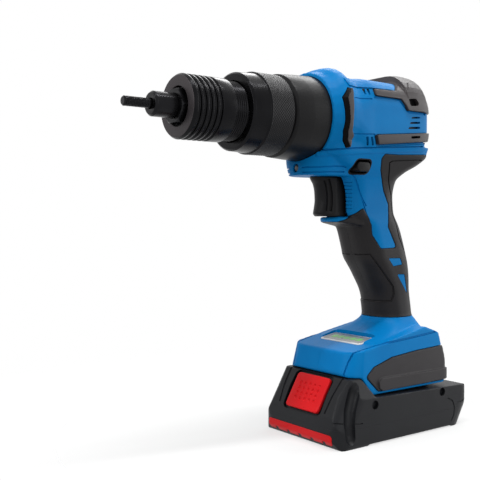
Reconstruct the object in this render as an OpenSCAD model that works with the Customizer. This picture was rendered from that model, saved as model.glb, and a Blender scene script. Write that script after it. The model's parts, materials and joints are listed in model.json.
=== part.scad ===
// Cordless tool that sets rivet nuts: a motor turns a planetary gear and a ball nut, the ball
// screw draws the mandrel back through the anvil, and the collar on the nose sets the stroke.
// +X points out of the nose, +Y to the tool's left and +Z up. The origin is on the underside of
// the battery, on which the tool stands, close to its middle.

/* [Drive line] */
// Height of the drive axis over the underside of the battery
axis_z = 216; // [212:1:222]
// Place of the front of the motor head, ahead of the origin
head_front = 58; // [56:1:64]
// Length of the bare gear case between the head and the collar
sleeve_len = 28; // [24:1:36]
// Radius of the bare gear case at the head
sleeve_r = 28.4; // [27.8:0.1:28.6]
// Radius of the bare gear case at the collar
sleeve_front_r = 26.9; // [26:0.1:27.5]
// Travel of the ball screw and the mandrel
stroke = 8; // [4:0.5:9]
// Radius of the ball screw
screw_r = 7; // [6:0.25:8]

/* [Nose] */
// Length of the stroke collar
collar_len = 32; // [30:1:40]
// Radius of the collar at its knurled band
collar_r = 26.2; // [25.4:0.1:27]
// Radius of the collar at its front edge
collar_front_r = 23.5; // [22.5:0.1:24.5]
// Neck of the nose that shows between the collar and the ridges
neck_show = 9.6; // [6:0.2:12]
// Radius of the threaded neck
neck_r = 18.6; // [18:0.1:18.9]
// Length of the ridged nose ahead of its neck
nose_len = 30; // [26:1:36]
// Radius of the ridged nose
nose_r = 19.7; // [19.2:0.1:21]
// Number of ring grooves in the nose
nose_grooves = 5; // [3:1:6]
// Depth of a ring groove
groove_depth = 1.1; // [0.5:0.1:1.5]
// Length of the anvil ahead of the nose
anvil_show = 18.4; // [14:0.2:22]
// Radius of the anvil ahead of the nose
anvil_r = 7.5; // [6.5:0.1:8]
// Length of the mandrel ahead of the anvil
mandrel_show = 18; // [14:0.5:24]
// Radius of the threaded end of the mandrel
mandrel_r = 3; // [2.5:0.1:3.2]

/* [Motor and gears] */
// Radius of the stator
stator_r = 24.5; // [23:0.25:25]
// Length of the stator stack
stator_len = 28; // [22:1:30]
// Radius of the motor shaft
shaft_r = 2.5; // [2:0.1:2.7]
// Module of the gear teeth
gear_module = 0.8; // [0.75:0.01:0.82]
// Width of the planet gears
gear_w = 13; // [9:0.5:13]
// Wall of the ring gear behind its teeth
ring_wall = 2.2; // [1.5:0.1:2.3]

/* [Housing] */
// Width of the motor head
head_w = 62; // [60:0.5:66]
// Rise of the motor head over the drive axis
head_rise = 32.5; // [31:0.5:36]
// Length of the motor head
head_len = 101; // [98:1:106]
// Height of the grip from its foot to the motor head
grip_h = 100; // [96:1:104]
// Height of the foot of the grip
grip_foot_z = 80; // [76:1:82]
// Widest depth of the grip, front to back
grip_depth = 43.4; // [41:0.2:46]
// Widest width of the grip
grip_w = 36.5; // [34:0.5:40]
// Distance by which the grip leans forward from foot to head
grip_lean = 30; // [27:0.5:32]
// Wall of the housing
wall = 2.8; // [2:0.1:3.4]
// Length of the base
base_len = 96; // [93:1:100]
// Width of the base
base_w = 70; // [68:0.5:73]
// Thickness of the rubber on the grip
rubber_t = 1.4; // [1:0.1:1.8]

/* [Trigger and selector] */
// Width of the trigger
trigger_w = 20; // [16:0.5:22]
// Height of the trigger
trigger_h = 26.8; // [23:0.2:28]
// Travel of the trigger
trigger_travel = 6; // [3:0.5:7]
// Travel of the direction selector
selector_travel = 6; // [3:0.5:7]

/* [Battery] */
// Length of the battery
batt_len = 130; // [126:1:136]
// Width of the battery
batt_w = 78; // [75:0.5:84]
// Height of the battery's shoulder
batt_h = 31; // [30:0.25:31.4]
// Wall of the battery case
batt_wall = 2.4; // [1.8:0.1:3]
// Radius of a battery cell
cell_r = 9.2; // [8.8:0.1:9.3]
// Room at each end of a battery cell
cell_end_gap = 4.1; // [2.5:0.1:6]
// Travel of the release button
button_travel = 4; // [2:0.5:5]

/* [Hidden] */
$fn = 64;

// Colours
blue = "#0a7cc4";
grey = "#565253";
black = "#1d1e20";
rubber_black = "#26272a";
steel = "#9a9da1";
dark_steel = "#2e3033";
copper = "#b5713c";
red = "#d8222b";
green = "#2f7d4a";

// Clearances and cuts
cut = 1;
fit = 0.3;
run = 0.06;
seat = 0.05;
seam = 0.05;
slab_t = 0.1;
round_steps = 7;
half = 0.5;
far = 2 * batt_len;

// Round shapes on the drive axis
module on_axis(x) {
  translate([x, 0, axis_z])
    rotate([0, 90, 0])
      children();
}

// A turned piece from points given as radius and place along X
module turned(points) {
  on_axis(0)
    rotate_extrude()
      polygon(points);
}

module ring_x(x0, x1, r_out, r_in) {
  on_axis(x0)
    difference() {
      cylinder(h = x1 - x0, r = r_out);
      translate([0, 0, -cut])
        cylinder(h = x1 - x0 + 2 * cut, r = r_in);
    }
}

// A side outline in X and Z drawn out along Y
module side_prism(points, y0, y1) {
  translate([0, y1, 0])
    rotate([90, 0, 0])
      linear_extrude(y1 - y0)
        polygon(points);
}

function corner(c, r, from) =
  [for (i = [0 : round_steps]) c + r * [cos(from + 90 * i / round_steps), sin(from + 90 * i / round_steps)]];

function rounded_rect(hx, hy, r) =
  let (q = min(r, hx, hy))
  concat(
    corner([hx - q, hy - q], q, 0), corner([q - hx, hy - q], q, 90),
    corner([q - hx, q - hy], q, 180), corner([hx - q, q - hy], q, 270)
  );

// A plan outline from x0 to x1 with its own corner radii at the rear and the front
function plan_points(x0, x1, hy, r_rear, r_front) =
  concat(
    corner([x1 - r_front, hy - r_front], r_front, 0), corner([x0 + r_rear, hy - r_rear], r_rear, 90),
    corner([x0 + r_rear, r_rear - hy], r_rear, 180), corner([x1 - r_front, r_front - hy], r_front, 270)
  );

// A front outline that keeps its full width up to z1 and narrows to the share at z2
module front_taper(hy, share, z1, z2) {
  translate([-far, 0, 0])
    rotate([90, 0, 90])
      linear_extrude(2 * far)
        polygon([[-hy, -cut], [hy, -cut], [hy, z1], [hy * share, z2], [-hy * share, z2], [-hy, z1]]);
}

// A block behind a leaning front face through two points in X and Z, with rounded front corners
module leaning_front(low, high, hy, r, inset) {
  translate([low[0], 0, low[1]])
    rotate([0, -atan((low[0] - high[0]) / (high[1] - low[1])), 0])
      translate([seam - inset, 0, -far])
        linear_extrude(2 * far)
          polygon(plan_points(-far, 0, hy - inset, r - inset, r - inset));
}

// Places along the drive axis, from the head forward and then back
head_rear = head_front - head_len;
case_front = head_front + sleeve_len;
collar_front = case_front + collar_len;
nose_rear = collar_front + neck_show;
nose_front = nose_rear + nose_len;
anvil_front = nose_front + anvil_show;
mandrel_tip = anvil_front + mandrel_show;
gearbox_len = 36;
plate_t = 4;
plate_front = head_front - gearbox_len;
plate_rear = plate_front - plate_t;

// Gear train: one planetary stage with sun, three planets and a fixed ring
sun_teeth = 12;
planet_teeth = 18;
ring_teeth = sun_teeth + 2 * planet_teeth;
planet_count = 3;
pressure_angle = 25;
flank_steps = 3;
add_share = 0.9;
ded_share = 1.2;
backlash_share = 0.07;
gear_end_gap = 0.5;
planet_orbit = gear_module * (sun_teeth + planet_teeth) / 2;
ring_out_r = gear_module * (ring_teeth / 2 + ded_share) + ring_wall;
ring_rear = plate_front + seat;
ring_front = ring_rear + gear_w + 2 * gear_end_gap;
gear_rear = ring_rear + gear_end_gap;
carrier_rear = ring_front + gear_end_gap;

function inv(rb, r) =
  let (a = acos(min(1, rb / r)))
  tan(a) * 180 / PI - a;

// Half the angle of a tooth at radius r; slack widens or narrows it
function tooth_half(teeth, r, slack) =
  let (rp = gear_module * teeth / 2, rb = rp * cos(pressure_angle))
  90 / teeth + inv(rb, rp) - inv(rb, max(r, rb)) + slack / rp * 180 / PI;

function gear_points(teeth, r_root, r_tip, slack) =
  let (radii = [for (i = [0 : flank_steps]) r_root + (r_tip - r_root) * i / flank_steps])
  [for (t = [0 : teeth - 1], side = [-1, 1], i = [0 : flank_steps])
    let (
      r = radii[side < 0 ? i : flank_steps - i],
      a = 360 * t / teeth + side * tooth_half(teeth, r, slack)
    )
    r * [cos(a), sin(a)]];

function outer_gear(teeth) =
  let (rp = gear_module * teeth / 2)
  gear_points(
    teeth, rp - ded_share * gear_module, rp + add_share * gear_module, -backlash_share * gear_module
  );

function ring_cutter(teeth) =
  let (rp = gear_module * teeth / 2)
  gear_points(
    teeth, rp - add_share * gear_module, rp + ded_share * gear_module, backlash_share * gear_module
  );

// Gear case, bearings and nut
case_bore = ring_out_r + seat;
flange_step = 2.8;
case_out_r = sleeve_r - flange_step;
front_wall = 6;
screw_head_step = 6;
guide_bore = screw_r + screw_head_step;
spigot_len = 12;
spigot_r = 21.8;
lip_len = 1.6;
lip_depth = 1.4;
flange_len = 4;
bearing_r = 8;
nut_r = 15;
nut_bearing_len = 8;
carrier_t = 5;
carrier_r = planet_orbit + carrier_t;
pin_r = 2;
nut_rear = carrier_rear + carrier_t;
nut_end_gap = 2;
nut_front = case_front - front_wall - nut_end_gap;
nut_bearing_rear = nut_rear + nut_bearing_len;

module gear_case() {
  color(black)
    difference() {
      turned([
        [case_bore, plate_rear], [case_out_r, plate_rear], [case_out_r, head_front - flange_len],
        [sleeve_r, head_front - flange_len], [sleeve_r, head_front],
        [sleeve_front_r, case_front - lip_len], [sleeve_front_r - lip_depth, case_front - lip_len],
        [sleeve_front_r - lip_depth, case_front], [spigot_r, case_front],
        [spigot_r, case_front + spigot_len], [guide_bore, case_front + spigot_len],
        [guide_bore, case_front - front_wall], [case_bore, case_front - front_wall]
      ]);
      guide_slots();
      retainer_groove();
      on_key(case_front + key_seat)
        cylinder(h = spigot_len, r = key_r + seat);
    }
}

// Two grooves inside the spigot that keep the ball screw from turning
module guide_slots() {
  slot_h = 2 * (guide_pin_r + run);
  slot_w = 2 * (guide_pin_half + fit);
  translate([case_front - front_wall - cut, -slot_w / 2, axis_z - slot_h / 2])
    cube([front_wall + spigot_len + 2 * cut, slot_w, slot_h]);
}

module ring_gear() {
  color(steel)
    on_axis(ring_rear)
      difference() {
        cylinder(h = ring_front - ring_rear, r = ring_out_r);
        translate([0, 0, -cut])
          linear_extrude(ring_front - ring_rear + 2 * cut)
            polygon(ring_cutter(ring_teeth));
      }
}

module nut_bearing() {
  color(steel)
    ring_x(nut_bearing_rear, nut_bearing_rear + nut_bearing_len, case_bore - seat, nut_r + run);
}

module bearing_plate() {
  color(steel)
    ring_x(plate_rear, plate_front, case_bore - seat, bearing_r + seat);
}

module front_bearing() {
  color(dark_steel)
    ring_x(plate_rear, plate_front, bearing_r, shaft_r + run);
}

// Motor
fan_t = 5;
fan_gap = 0.8;
fan_front = plate_rear - fan_gap;
fan_rear = fan_front - fan_t;
winding_over = 4;
stator_front = fan_rear - winding_over - fan_gap;
stator_rear = stator_front - stator_len;
end_plate_t = 6;
end_plate_gap = 1.5;
end_plate_front = stator_rear - winding_over - end_plate_gap;
end_plate_rear = end_plate_front - end_plate_t;
rear_bearing_t = 4;
air_gap = 0.6;
rotor_r = 12.6;
stator_bore = rotor_r + air_gap;
tooth_count = 6;
tooth_w = 6;
tooth_inset = 4.5;
coil_t = 2;
coil_gap = 0.1;
slot_inner = stator_bore + coil_t;
slot_outer = stator_r - tooth_inset;
coil_outer = sqrt(pow(slot_outer, 2) - pow(tooth_w / 2 + coil_t, 2));

module rear_bearing() {
  color(dark_steel)
    ring_x(end_plate_rear, end_plate_rear + rear_bearing_t, bearing_r, shaft_r + run);
}

module motor_end_plate() {
  color(black)
    ring_x(end_plate_rear, end_plate_front, stator_r, bearing_r + seat);
}

// The stack: a ring with inward teeth and a pole shoe along the bore
module motor_stator() {
  color(steel)
    on_axis(stator_rear)
      linear_extrude(stator_len) {
        difference() {
          circle(r = stator_r);
          circle(r = slot_outer);
        }
        difference() {
          union() {
            for (i = [0 : tooth_count - 1])
              rotate(360 * i / tooth_count)
                translate([stator_bore - cut, -tooth_w / 2])
                  square([slot_outer - stator_bore + 2 * cut, tooth_w]);
          }
          circle(r = stator_bore);
        }
      }
}

module stator_windings() {
  depth = coil_outer - slot_inner;
  color(copper)
    for (i = [0 : tooth_count - 1])
      on_axis(stator_rear)
        rotate(360 * i / tooth_count)
          difference() {
            translate([slot_inner, -tooth_w / 2 - coil_t, -winding_over])
              cube([depth - 2 * coil_gap, tooth_w + 2 * coil_t, stator_len + 2 * winding_over]);
            translate([slot_inner - cut, -tooth_w / 2 - coil_gap, -coil_gap])
              cube([depth + 2 * cut, tooth_w + 2 * coil_gap, stator_len + 2 * coil_gap]);
          }
}

module rotor_shaft() {
  color(steel)
    on_axis(end_plate_rear)
      cylinder(h = gear_rear + gear_w - end_plate_rear, r = shaft_r);
}

module rotor_magnets() {
  color(dark_steel)
    ring_x(stator_rear, stator_front, rotor_r, shaft_r + seat);
}

fan_clear = 3;
fan_r = stator_r - fan_clear;
fan_hub_r = 6;
fan_disc_t = 1.2;
blade_t = 1.2;
blade_count = 12;

module cooling_fan() {
  color(black)
    on_axis(fan_rear)
      difference() {
        union() {
          cylinder(h = fan_disc_t, r = fan_r);
          cylinder(h = fan_t, r = fan_hub_r);
          for (i = [0 : blade_count - 1])
            rotate(360 * i / blade_count)
              translate([fan_hub_r - fan_disc_t, -blade_t / 2, 0])
                cube([fan_r - fan_hub_r, blade_t, fan_t]);
        }
        translate([0, 0, -cut])
          cylinder(h = fan_t + 2 * cut, r = shaft_r + seat);
      }
}

module sun_gear() {
  color(steel)
    on_axis(gear_rear)
      difference() {
        rotate(180 / sun_teeth)
          linear_extrude(gear_w)
            polygon(outer_gear(sun_teeth));
        translate([0, 0, -cut])
          cylinder(h = gear_w + 2 * cut, r = shaft_r + seat);
      }
}

module planet(i) {
  color(steel)
    on_axis(gear_rear)
      rotate(360 * i / planet_count)
        translate([planet_orbit, 0, 0])
          difference() {
            linear_extrude(gear_w)
              polygon(outer_gear(planet_teeth));
            translate([0, 0, -cut])
              cylinder(h = gear_w + 2 * cut, r = pin_r + run);
          }
}

module planet_carrier() {
  color(dark_steel) {
    on_axis(carrier_rear)
      cylinder(h = carrier_t, r = carrier_r);
    for (i = [0 : planet_count - 1])
      on_axis(gear_rear)
        rotate(360 * i / planet_count)
          translate([planet_orbit, 0, 0])
            cylinder(h = carrier_rear - gear_rear + cut, r = pin_r);
  }
}

module ball_nut() {
  color(steel)
    ring_x(nut_rear, nut_front, nut_r, screw_r + run);
}

// The screw that is drawn back, its head and the cross pin that keeps it from turning
head_clear = 2;
screw_head_len = 12;
screw_head_rear = case_front + head_clear;
screw_head_front = screw_head_rear + screw_head_len;
screw_rear = nut_rear + stroke + head_clear;
guide_pin_r = 2;
guide_pin_reach = 2.8;
guide_pin_half = guide_bore + guide_pin_reach;
guide_pin_back = 5;
guide_pin_x = screw_head_front - guide_pin_back;
holder_spigot_r = 6;
holder_spigot_len = 8;
holder_flange_r = guide_bore - head_clear;
holder_flange_len = 8;
holder_r = 8.5;
holder_len = 20;
mandrel_seat = 16;
shank_relief = 0.2;
thread_gap = 1.5;
tip_share = 0.6;

module ball_screw() {
  color(steel)
    difference() {
      turned([
        [0, screw_rear], [screw_r, screw_rear], [screw_r, screw_head_rear],
        [guide_bore - run, screw_head_rear], [guide_bore - run, screw_head_front],
        [holder_spigot_r + run, screw_head_front],
        [holder_spigot_r + run, screw_head_front - holder_spigot_len - fit],
        [0, screw_head_front - holder_spigot_len - fit]
      ]);
      translate([guide_pin_x, guide_pin_half + cut, axis_z])
        rotate([90, 0, 0])
          cylinder(h = 2 * (guide_pin_half + cut), r = guide_pin_r + seat);
    }
}

// The pin is in two halves, one on each side of the holder's spigot
module guide_pin() {
  color(dark_steel)
    for (side = [-1, 1])
      translate([guide_pin_x, side * (guide_pin_half + holder_spigot_r + cut) / 2, axis_z])
        rotate([90, 0, 0])
          cylinder(h = guide_pin_half - holder_spigot_r - cut, r = guide_pin_r, center = true);
}

holder_rear = screw_head_front + fit;
holder_front = holder_rear + holder_flange_len + holder_len;

module mandrel_holder() {
  color(dark_steel)
    turned([
      [0, screw_head_front - holder_spigot_len], [holder_spigot_r, screw_head_front - holder_spigot_len],
      [holder_spigot_r, holder_rear], [holder_flange_r, holder_rear],
      [holder_flange_r, holder_rear + holder_flange_len], [holder_r, holder_rear + holder_flange_len],
      [holder_r, holder_front], [mandrel_r - shank_relief + seat, holder_front],
      [mandrel_r - shank_relief + seat, holder_front - mandrel_seat], [0, holder_front - mandrel_seat]
    ]);
}

module mandrel() {
  tip_r = mandrel_r * tip_share;
  color(black)
    turned([
      [0, holder_front - mandrel_seat + seat], [mandrel_r - shank_relief, holder_front - mandrel_seat + seat],
      [mandrel_r - shank_relief, anvil_front + thread_gap], [mandrel_r, anvil_front + thread_gap],
      [mandrel_r, mandrel_tip - mandrel_r * half], [tip_r, mandrel_tip], [0, mandrel_tip]
    ]);
}

// Collar, nose and anvil
nose_travel = 4;
neck_rear = case_front + spigot_len + nose_travel + cut;
slide_gap = 0.2;
neck_bore = guide_bore + slide_gap;
anvil_step = 1;
anvil_thread_r = anvil_r + anvil_step;
anvil_bore = mandrel_r + slide_gap;
anvil_thread_len = 16;
nose_wall = 10;
nut_recess = 3;
nut_proud = 3;
nut_af_share = 1.34;
lock_nut_r = anvil_thread_r * nut_af_share;
groove_margin_share = 1.4;
groove_pitch = nose_len / (nose_grooves + groove_margin_share);
groove_w_share = 0.36;
edge_break = 0.8;
key_r = 1.4;
key_orbit = (neck_r + neck_bore) / 2;
key_seat = 5;
key_reach = 10;
retainer_back = 4;
retainer_x = case_front + retainer_back;
retainer_t = 1.4;
retainer_sink = 1;
retainer_rise = 1.6;
retainer_in = spigot_r - retainer_sink;
retainer_out = spigot_r + retainer_rise;
knurl_front_share = 0.53;
step_share = 0.75;
collar_step = 1.1;
collar_mid_r = collar_r - collar_step;

module retainer_groove() {
  on_axis(retainer_x - run)
    difference() {
      cylinder(h = retainer_t + 2 * run, r = spigot_r + cut);
      translate([0, 0, -cut])
        cylinder(h = retainer_t + 2 * cut, r = retainer_in - seat);
    }
}

module collar_retainer() {
  color(steel)
    ring_x(retainer_x, retainer_x + retainer_t, retainer_out, retainer_in);
}

module stroke_collar() {
  knurl_front = case_front + collar_len * knurl_front_share;
  step_x = case_front + collar_len * step_share;
  rear = case_front + fit;
  bore_end = case_front + spigot_len + fit;
  groove_r = retainer_out + run;
  color(black)
    turned([
      [spigot_r + run, rear], [collar_r - edge_break, rear], [collar_r, rear + edge_break],
      [collar_r, knurl_front], [collar_mid_r, knurl_front + edge_break], [collar_mid_r, step_x],
      [collar_front_r, step_x + edge_break], [collar_front_r, collar_front - edge_break],
      [collar_front_r - edge_break, collar_front], [neck_r + run, collar_front],
      [neck_r + run, bore_end], [spigot_r + run, bore_end],
      [spigot_r + run, retainer_x + retainer_t + run], [groove_r, retainer_x + retainer_t + run],
      [groove_r, retainer_x - run], [spigot_r + run, retainer_x - run]
    ]);
}

// A pin beside the axis that keeps the nose from turning with the collar
module on_key(x) {
  translate([0, 0, key_orbit])
    on_axis(x)
      children();
}

module nose_key() {
  color(steel)
    on_key(case_front + key_seat)
      cylinder(h = neck_rear + key_reach - case_front - key_seat, r = key_r);
}

groove_w = groove_pitch * groove_w_share;
ridge_points = [
  for (i = [0 : nose_grooves - 1])
    let (x = nose_front - groove_pitch * (i + half))
    each [
      [nose_r, x], [nose_r - groove_depth, x - groove_w / 3],
      [nose_r - groove_depth, x - groove_w * 2 / 3], [nose_r, x - groove_w]
    ]
];

module nose_sleeve() {
  color(dark_steel)
    difference() {
      turned(concat(
        [[anvil_thread_r + seat, nose_front - nut_recess], [lock_nut_r + fit, nose_front - nut_recess],
         [lock_nut_r + fit, nose_front], [nose_r - edge_break, nose_front]],
        ridge_points,
        [[nose_r, nose_rear], [neck_r, nose_rear], [neck_r, neck_rear], [neck_bore, neck_rear],
         [neck_bore, nose_front - nose_wall], [anvil_thread_r + seat, nose_front - nose_wall]]
      ));
      on_key(neck_rear - cut)
        cylinder(h = key_reach + nose_travel + 2 * cut, r = key_r + run);
    }
}

module anvil() {
  color(dark_steel)
    turned([
      [anvil_bore, nose_front - anvil_thread_len], [anvil_thread_r, nose_front - anvil_thread_len],
      [anvil_thread_r, nose_front + nut_proud], [anvil_r, nose_front + nut_proud],
      [anvil_r, anvil_front - edge_break], [anvil_r - edge_break, anvil_front], [anvil_bore, anvil_front]
    ]);
}

module anvil_lock_nut() {
  color(black)
    on_axis(nose_front - nut_recess)
      difference() {
        cylinder(h = nut_recess + nut_proud, r = lock_nut_r, $fn = 6);
        translate([0, 0, -cut])
          cylinder(h = nut_recess + nut_proud + 2 * cut, r = anvil_thread_r + seat);
      }
}

// Motor head: slabs across X, as shares of its length, half width, rise, drop and half width again
head_drop = 30;
head_shares = [
  [0.00, 0.38, 0.52, 0.52, 0.36], [0.012, 0.52, 0.68, 0.62, 0.50], [0.04, 0.72, 0.82, 0.76, 0.66],
  [0.09, 0.91, 0.90, 0.88, 0.70], [0.15, 0.99, 0.915, 0.93, 0.66], [0.24, 1.00, 0.89, 0.95, 0.62],
  [0.60, 1.00, 0.89, 1.00, 0.62], [0.74, 1.02, 0.895, 1.00, 0.66], [0.80, 1.035, 0.96, 1.00, 0.80],
  [0.85, 1.04, 1.07, 1.00, 0.92], [0.89, 1.04, 1.14, 1.00, 0.96], [0.925, 1.03, 1.10, 1.00, 0.98],
  [0.96, 1.01, 1.00, 1.00, 1.00], [1.00, 0.98, 0.94, 1.00, 1.00]
];
// The rear cover's own, rounder slabs
cover_shares = [
  [-0.004, 0.42, 0.56, 0.50, 0.40], [0.01, 0.55, 0.73, 0.60, 0.53], [0.04, 0.74, 0.91, 0.70, 0.70],
  [0.09, 0.93, 1.04, 0.80, 0.80], [0.14, 1.02, 1.10, 0.90, 0.82], [0.22, 1.03, 1.11, 0.90, 0.80],
  [0.32, 1.02, 1.07, 0.90, 0.72]
];

module head_slab(s, inset) {
  top = head_rise * s[2] - inset;
  bottom = -head_drop * s[3] + inset;
  end = s[0] < half ? inset : 0;
  translate([head_rear + head_len * s[0] + end, 0, axis_z + (top + bottom) / 2])
    rotate([90, 0, 90])
      linear_extrude(slab_t)
        polygon(rounded_rect(head_w / 2 * s[1] - inset, (top - bottom) / 2, head_w / 2 * s[4] - inset));
}

module head_loft(shares, inset) {
  for (i = [0 : len(shares) - 2])
    hull() {
      head_slab(shares[i], inset);
      head_slab(shares[i + 1], inset);
    }
}

// Grip: slabs across Z, as shares of its height, lean, depth and width
grip_shares = [
  [-0.15, 0.45, 1.52, 1.60], [-0.11, 0.22, 1.22, 1.36], [-0.07, 0.07, 0.97, 1.15],
  [-0.03, 0.01, 0.82, 1.00],
  [0.00, 0.02, 0.75, 0.93], [0.14, 0.10, 0.76, 0.92], [0.30, 0.27, 0.90, 0.97], [0.42, 0.45, 1.00, 1.00],
  [0.50, 0.53, 0.99, 1.00], [0.66, 0.74, 0.98, 0.99], [0.70, 0.88, 1.08, 0.96], [0.74, 0.97, 1.14, 0.94],
  [0.85, 1.00, 1.12, 0.96], [0.96, 1.02, 1.20, 1.06], [1.02, 1.04, 1.48, 1.24], [1.08, 1.06, 2.01, 1.40],
  [1.14, 1.075, 2.32, 1.54], [1.20, 1.03, 2.34, 1.58]
];
grip_foot_x = -24;
grip_round_share = 0.38;

module grip_slab(s, inset) {
  translate([grip_foot_x + grip_lean * s[1], 0, grip_foot_z + grip_h * s[0]])
    linear_extrude(slab_t)
      polygon(rounded_rect(
        grip_depth * s[2] / 2 - inset, grip_w * s[3] / 2 - inset, grip_w * grip_round_share - inset
      ));
}

module grip_loft(inset, last = len(grip_shares) - 1) {
  for (i = [0 : last - 1])
    hull() {
      grip_slab(grip_shares[i], inset);
      grip_slab(grip_shares[i + 1], inset);
    }
}

// Chin under the barrel: slabs across Z, as shares of its height, length and width
chin_len = 76;
chin_lead = 11;
chin_front = head_front + chin_lead;
chin_w = 50;
chin_lap = 2;
chin_z = grip_foot_z + grip_h - chin_lap;
chin_h = axis_z - sleeve_r / 2 - chin_z;
chin_shares = [
  [0.00, 0.95, 0.66], [0.22, 0.945, 0.76], [0.48, 0.93, 0.86], [0.72, 0.90, 0.93], [1.00, 0.84, 0.97]
];
chin_round = 16;

module chin_slab(s, inset) {
  length = chin_len * s[1];
  translate([chin_front - chin_len + length / 2, 0, chin_z + chin_h * s[0] + (s[0] == 0 ? inset : 0)])
    linear_extrude(slab_t)
      polygon(rounded_rect(length / 2 - inset, chin_w * s[2] / 2 - inset, chin_round - inset));
}

module chin_loft(inset) {
  for (i = [0 : len(chin_shares) - 2])
    hull() {
      chin_slab(chin_shares[i], inset);
      chin_slab(chin_shares[i + 1], inset);
    }
}

// Lip under the trigger
trigger_z = chin_z - trigger_h - fit;
lip_t = 3.4;
lip_front = 37;
lip_z = trigger_z - lip_t - fit;
lip_side = 2;
lip_half_w = trigger_w / 2 + lip_side;
lip_root = 16;
lip_drop = 3;

module trigger_lip() {
  hull() {
    translate([lip_front - lip_half_w, 0, lip_z + lip_t / 2])
      linear_extrude(lip_t / 2)
        circle(r = lip_half_w, $fn = 32);
    translate([lip_root, -lip_half_w - lip_drop, lip_z - lip_drop])
      cube([slab_t, 2 * (lip_half_w + lip_drop), lip_t + lip_drop]);
  }
}

// Base: a side outline in shares of its length and height, cut to a rounded plan
base_gap = 0.8;
base_z = batt_h + base_gap;
base_h = 41;
base_x = -1;
base_outline_shares = [
  [0.49, 0.30], [0.44, 0.69], [-0.30, 1.00], [-0.44, 0.88], [-0.465, 0.65], [-0.50, 0.29],
  [-0.52, 0.00], [0.295, 0.00], [0.383, 0.30]
];
base_rear_round = 9;
base_front_round = 15;
base_reach_share = 0.53;
base_taper_share = 0.91;

function base_points(shares) = [for (s = shares) [base_x + base_len * s[0], base_z + base_h * s[1]]];

base_bottom_front = base_points(base_outline_shares)[0];
base_top_front = base_points(base_outline_shares)[1];
base_top_rear = base_points(base_outline_shares)[2];
base_top_slope = atan((base_top_rear[1] - base_top_front[1]) / (base_top_front[0] - base_top_rear[0]));

module base_block(inset) {
  intersection() {
    translate([0, base_w, 0])
      rotate([90, 0, 0])
        linear_extrude(2 * base_w)
          offset(delta = -inset)
            polygon(base_points(base_outline_shares));
    linear_extrude(axis_z)
      polygon(plan_points(
        base_x - base_len * base_reach_share + inset, far, base_w / 2 - inset,
        base_rear_round - inset, base_front_round
      ));
    front_taper(base_w / 2 - inset, base_taper_share, base_z, base_z + base_h);
    leaning_front(base_bottom_front, base_top_front, base_w / 2, base_front_round, inset);
  }
}

// Side outlines of the pieces set into the housing, in shares of the piece that carries them
cover_bar_front = 21;
cover_shares_xz = [
  [1.00, 0.50], [1.00, 0.69], [-0.02, 0.71], [-0.50, 0.92], [-0.66, 1.40], [-2.80, 1.40],
  [-2.80, 0.25], [-0.51, 0.25], [-0.22, 0.48]
];
bar_shares_xz = [[1.00, -0.33], [0.90, -0.51], [-2.80, -0.27], [-2.80, -0.12]];
chevron_shares_xz = [
  [2.23, 0.57], [2.44, 0.36], [2.44, -0.38], [2.18, -0.62],
  [1.99, -0.56], [2.20, -0.35], [2.20, 0.33], [2.03, 0.51]
];
trim_t = 1.4;
trim_proud = 0.8;
set_gap = 0.08;

function head_points(shares) = [for (s = shares) [cover_bar_front * s[0], axis_z + head_rise * s[1]]];

// Rubber outline in shares of the grip's depth and height, with two windows
rubber_shares = [
  [0.95, 0.02], [0.95, 0.665], [0.55, 0.675], [0.39, 0.77], [0.25, 0.63], [0.07, 0.485], [-0.32, 0.485],
  [-0.10, 0.63], [-0.14, 0.67], [-0.12, 0.825], [-0.05, 0.96], [-0.09, 1.10], [-0.16, 1.135],
  [-1.50, 1.135], [-1.50, 0.02]
];
window_shares = [[-0.12, 0.417], [-0.41, 0.415], [-0.47, 0.365], [-0.25, 0.355]];
slit_shares = [[-0.34, 0.30], [-0.53, 0.297], [-0.65, 0.136]];

function grip_points(shares) = [for (s = shares) [grip_depth * s[0], grip_foot_z + grip_h * s[1]]];

module rubber_region(grow) {
  translate([0, base_w, 0])
    rotate([90, 0, 0])
      linear_extrude(2 * base_w)
        offset(delta = grow)
          difference() {
            polygon(grip_points(rubber_shares));
            polygon(grip_points(window_shares));
            polygon(grip_points(slit_shares));
          }
}

insert_shares = [
  [0.345, 0.30], [0.27, 0.44], [0.08, 0.56], [-0.18, 0.615], [-0.62, 0.66], [-0.62, 0.05], [0.235, 0.05]
];

// Vents: rows of slots in the head's sides, as shares of the rise and of the bar's length
vent_w = 1.8;
vent_h = 6;
vent_front_shares = [1.28, 1.48];
vent_top_share = 0.60;
vent_low_share = -0.42;
slot_shares = [0.16, 0.03, -0.10];
slot_front_share = -0.75;
slot_len = 11;
vent_depth = 4;

module vents() {
  for (side = [-1, 1]) {
    y = side * head_w / 2 - vent_depth / 2;
    for (s = vent_front_shares, z = [vent_top_share, vent_low_share])
      translate([cover_bar_front * s, y, axis_z + head_rise * z - vent_h / 2])
        cube([vent_w, vent_depth, vent_h]);
    for (s = slot_shares)
      translate([cover_bar_front * slot_front_share - slot_len, y, axis_z + head_rise * s])
        cube([slot_len, vent_depth, vent_w]);
  }
}

// Trigger, its pocket, its switch and its spring
trigger_rear = 26;
trigger_reach = 24;
trigger_round = 15;
trigger_shares = [
  [0.00, 0.00], [0.78, 0.00], [0.84, 0.07], [0.79, 0.22], [0.755, 0.40], [0.77, 0.62], [0.84, 0.82],
  [0.98, 0.95], [1.00, 1.00], [0.00, 1.00]
];
plunger_r = 3;
switch_front = 8;
switch_len = 20;
switch_half_w = 9;
switch_z_gap = 3;
plunger_in = 1;
spring_wire_r = 0.5;
spring_step = 1.6;
spring_r = plunger_r + spring_step;
spring_turns = 6;
curl_rings = 8;
wire_sides = 6;
pocket_depth = 8;

function trigger_points() =
  [for (s = trigger_shares) [trigger_rear + trigger_reach * s[0], trigger_z + trigger_h * s[1]]];

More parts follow.
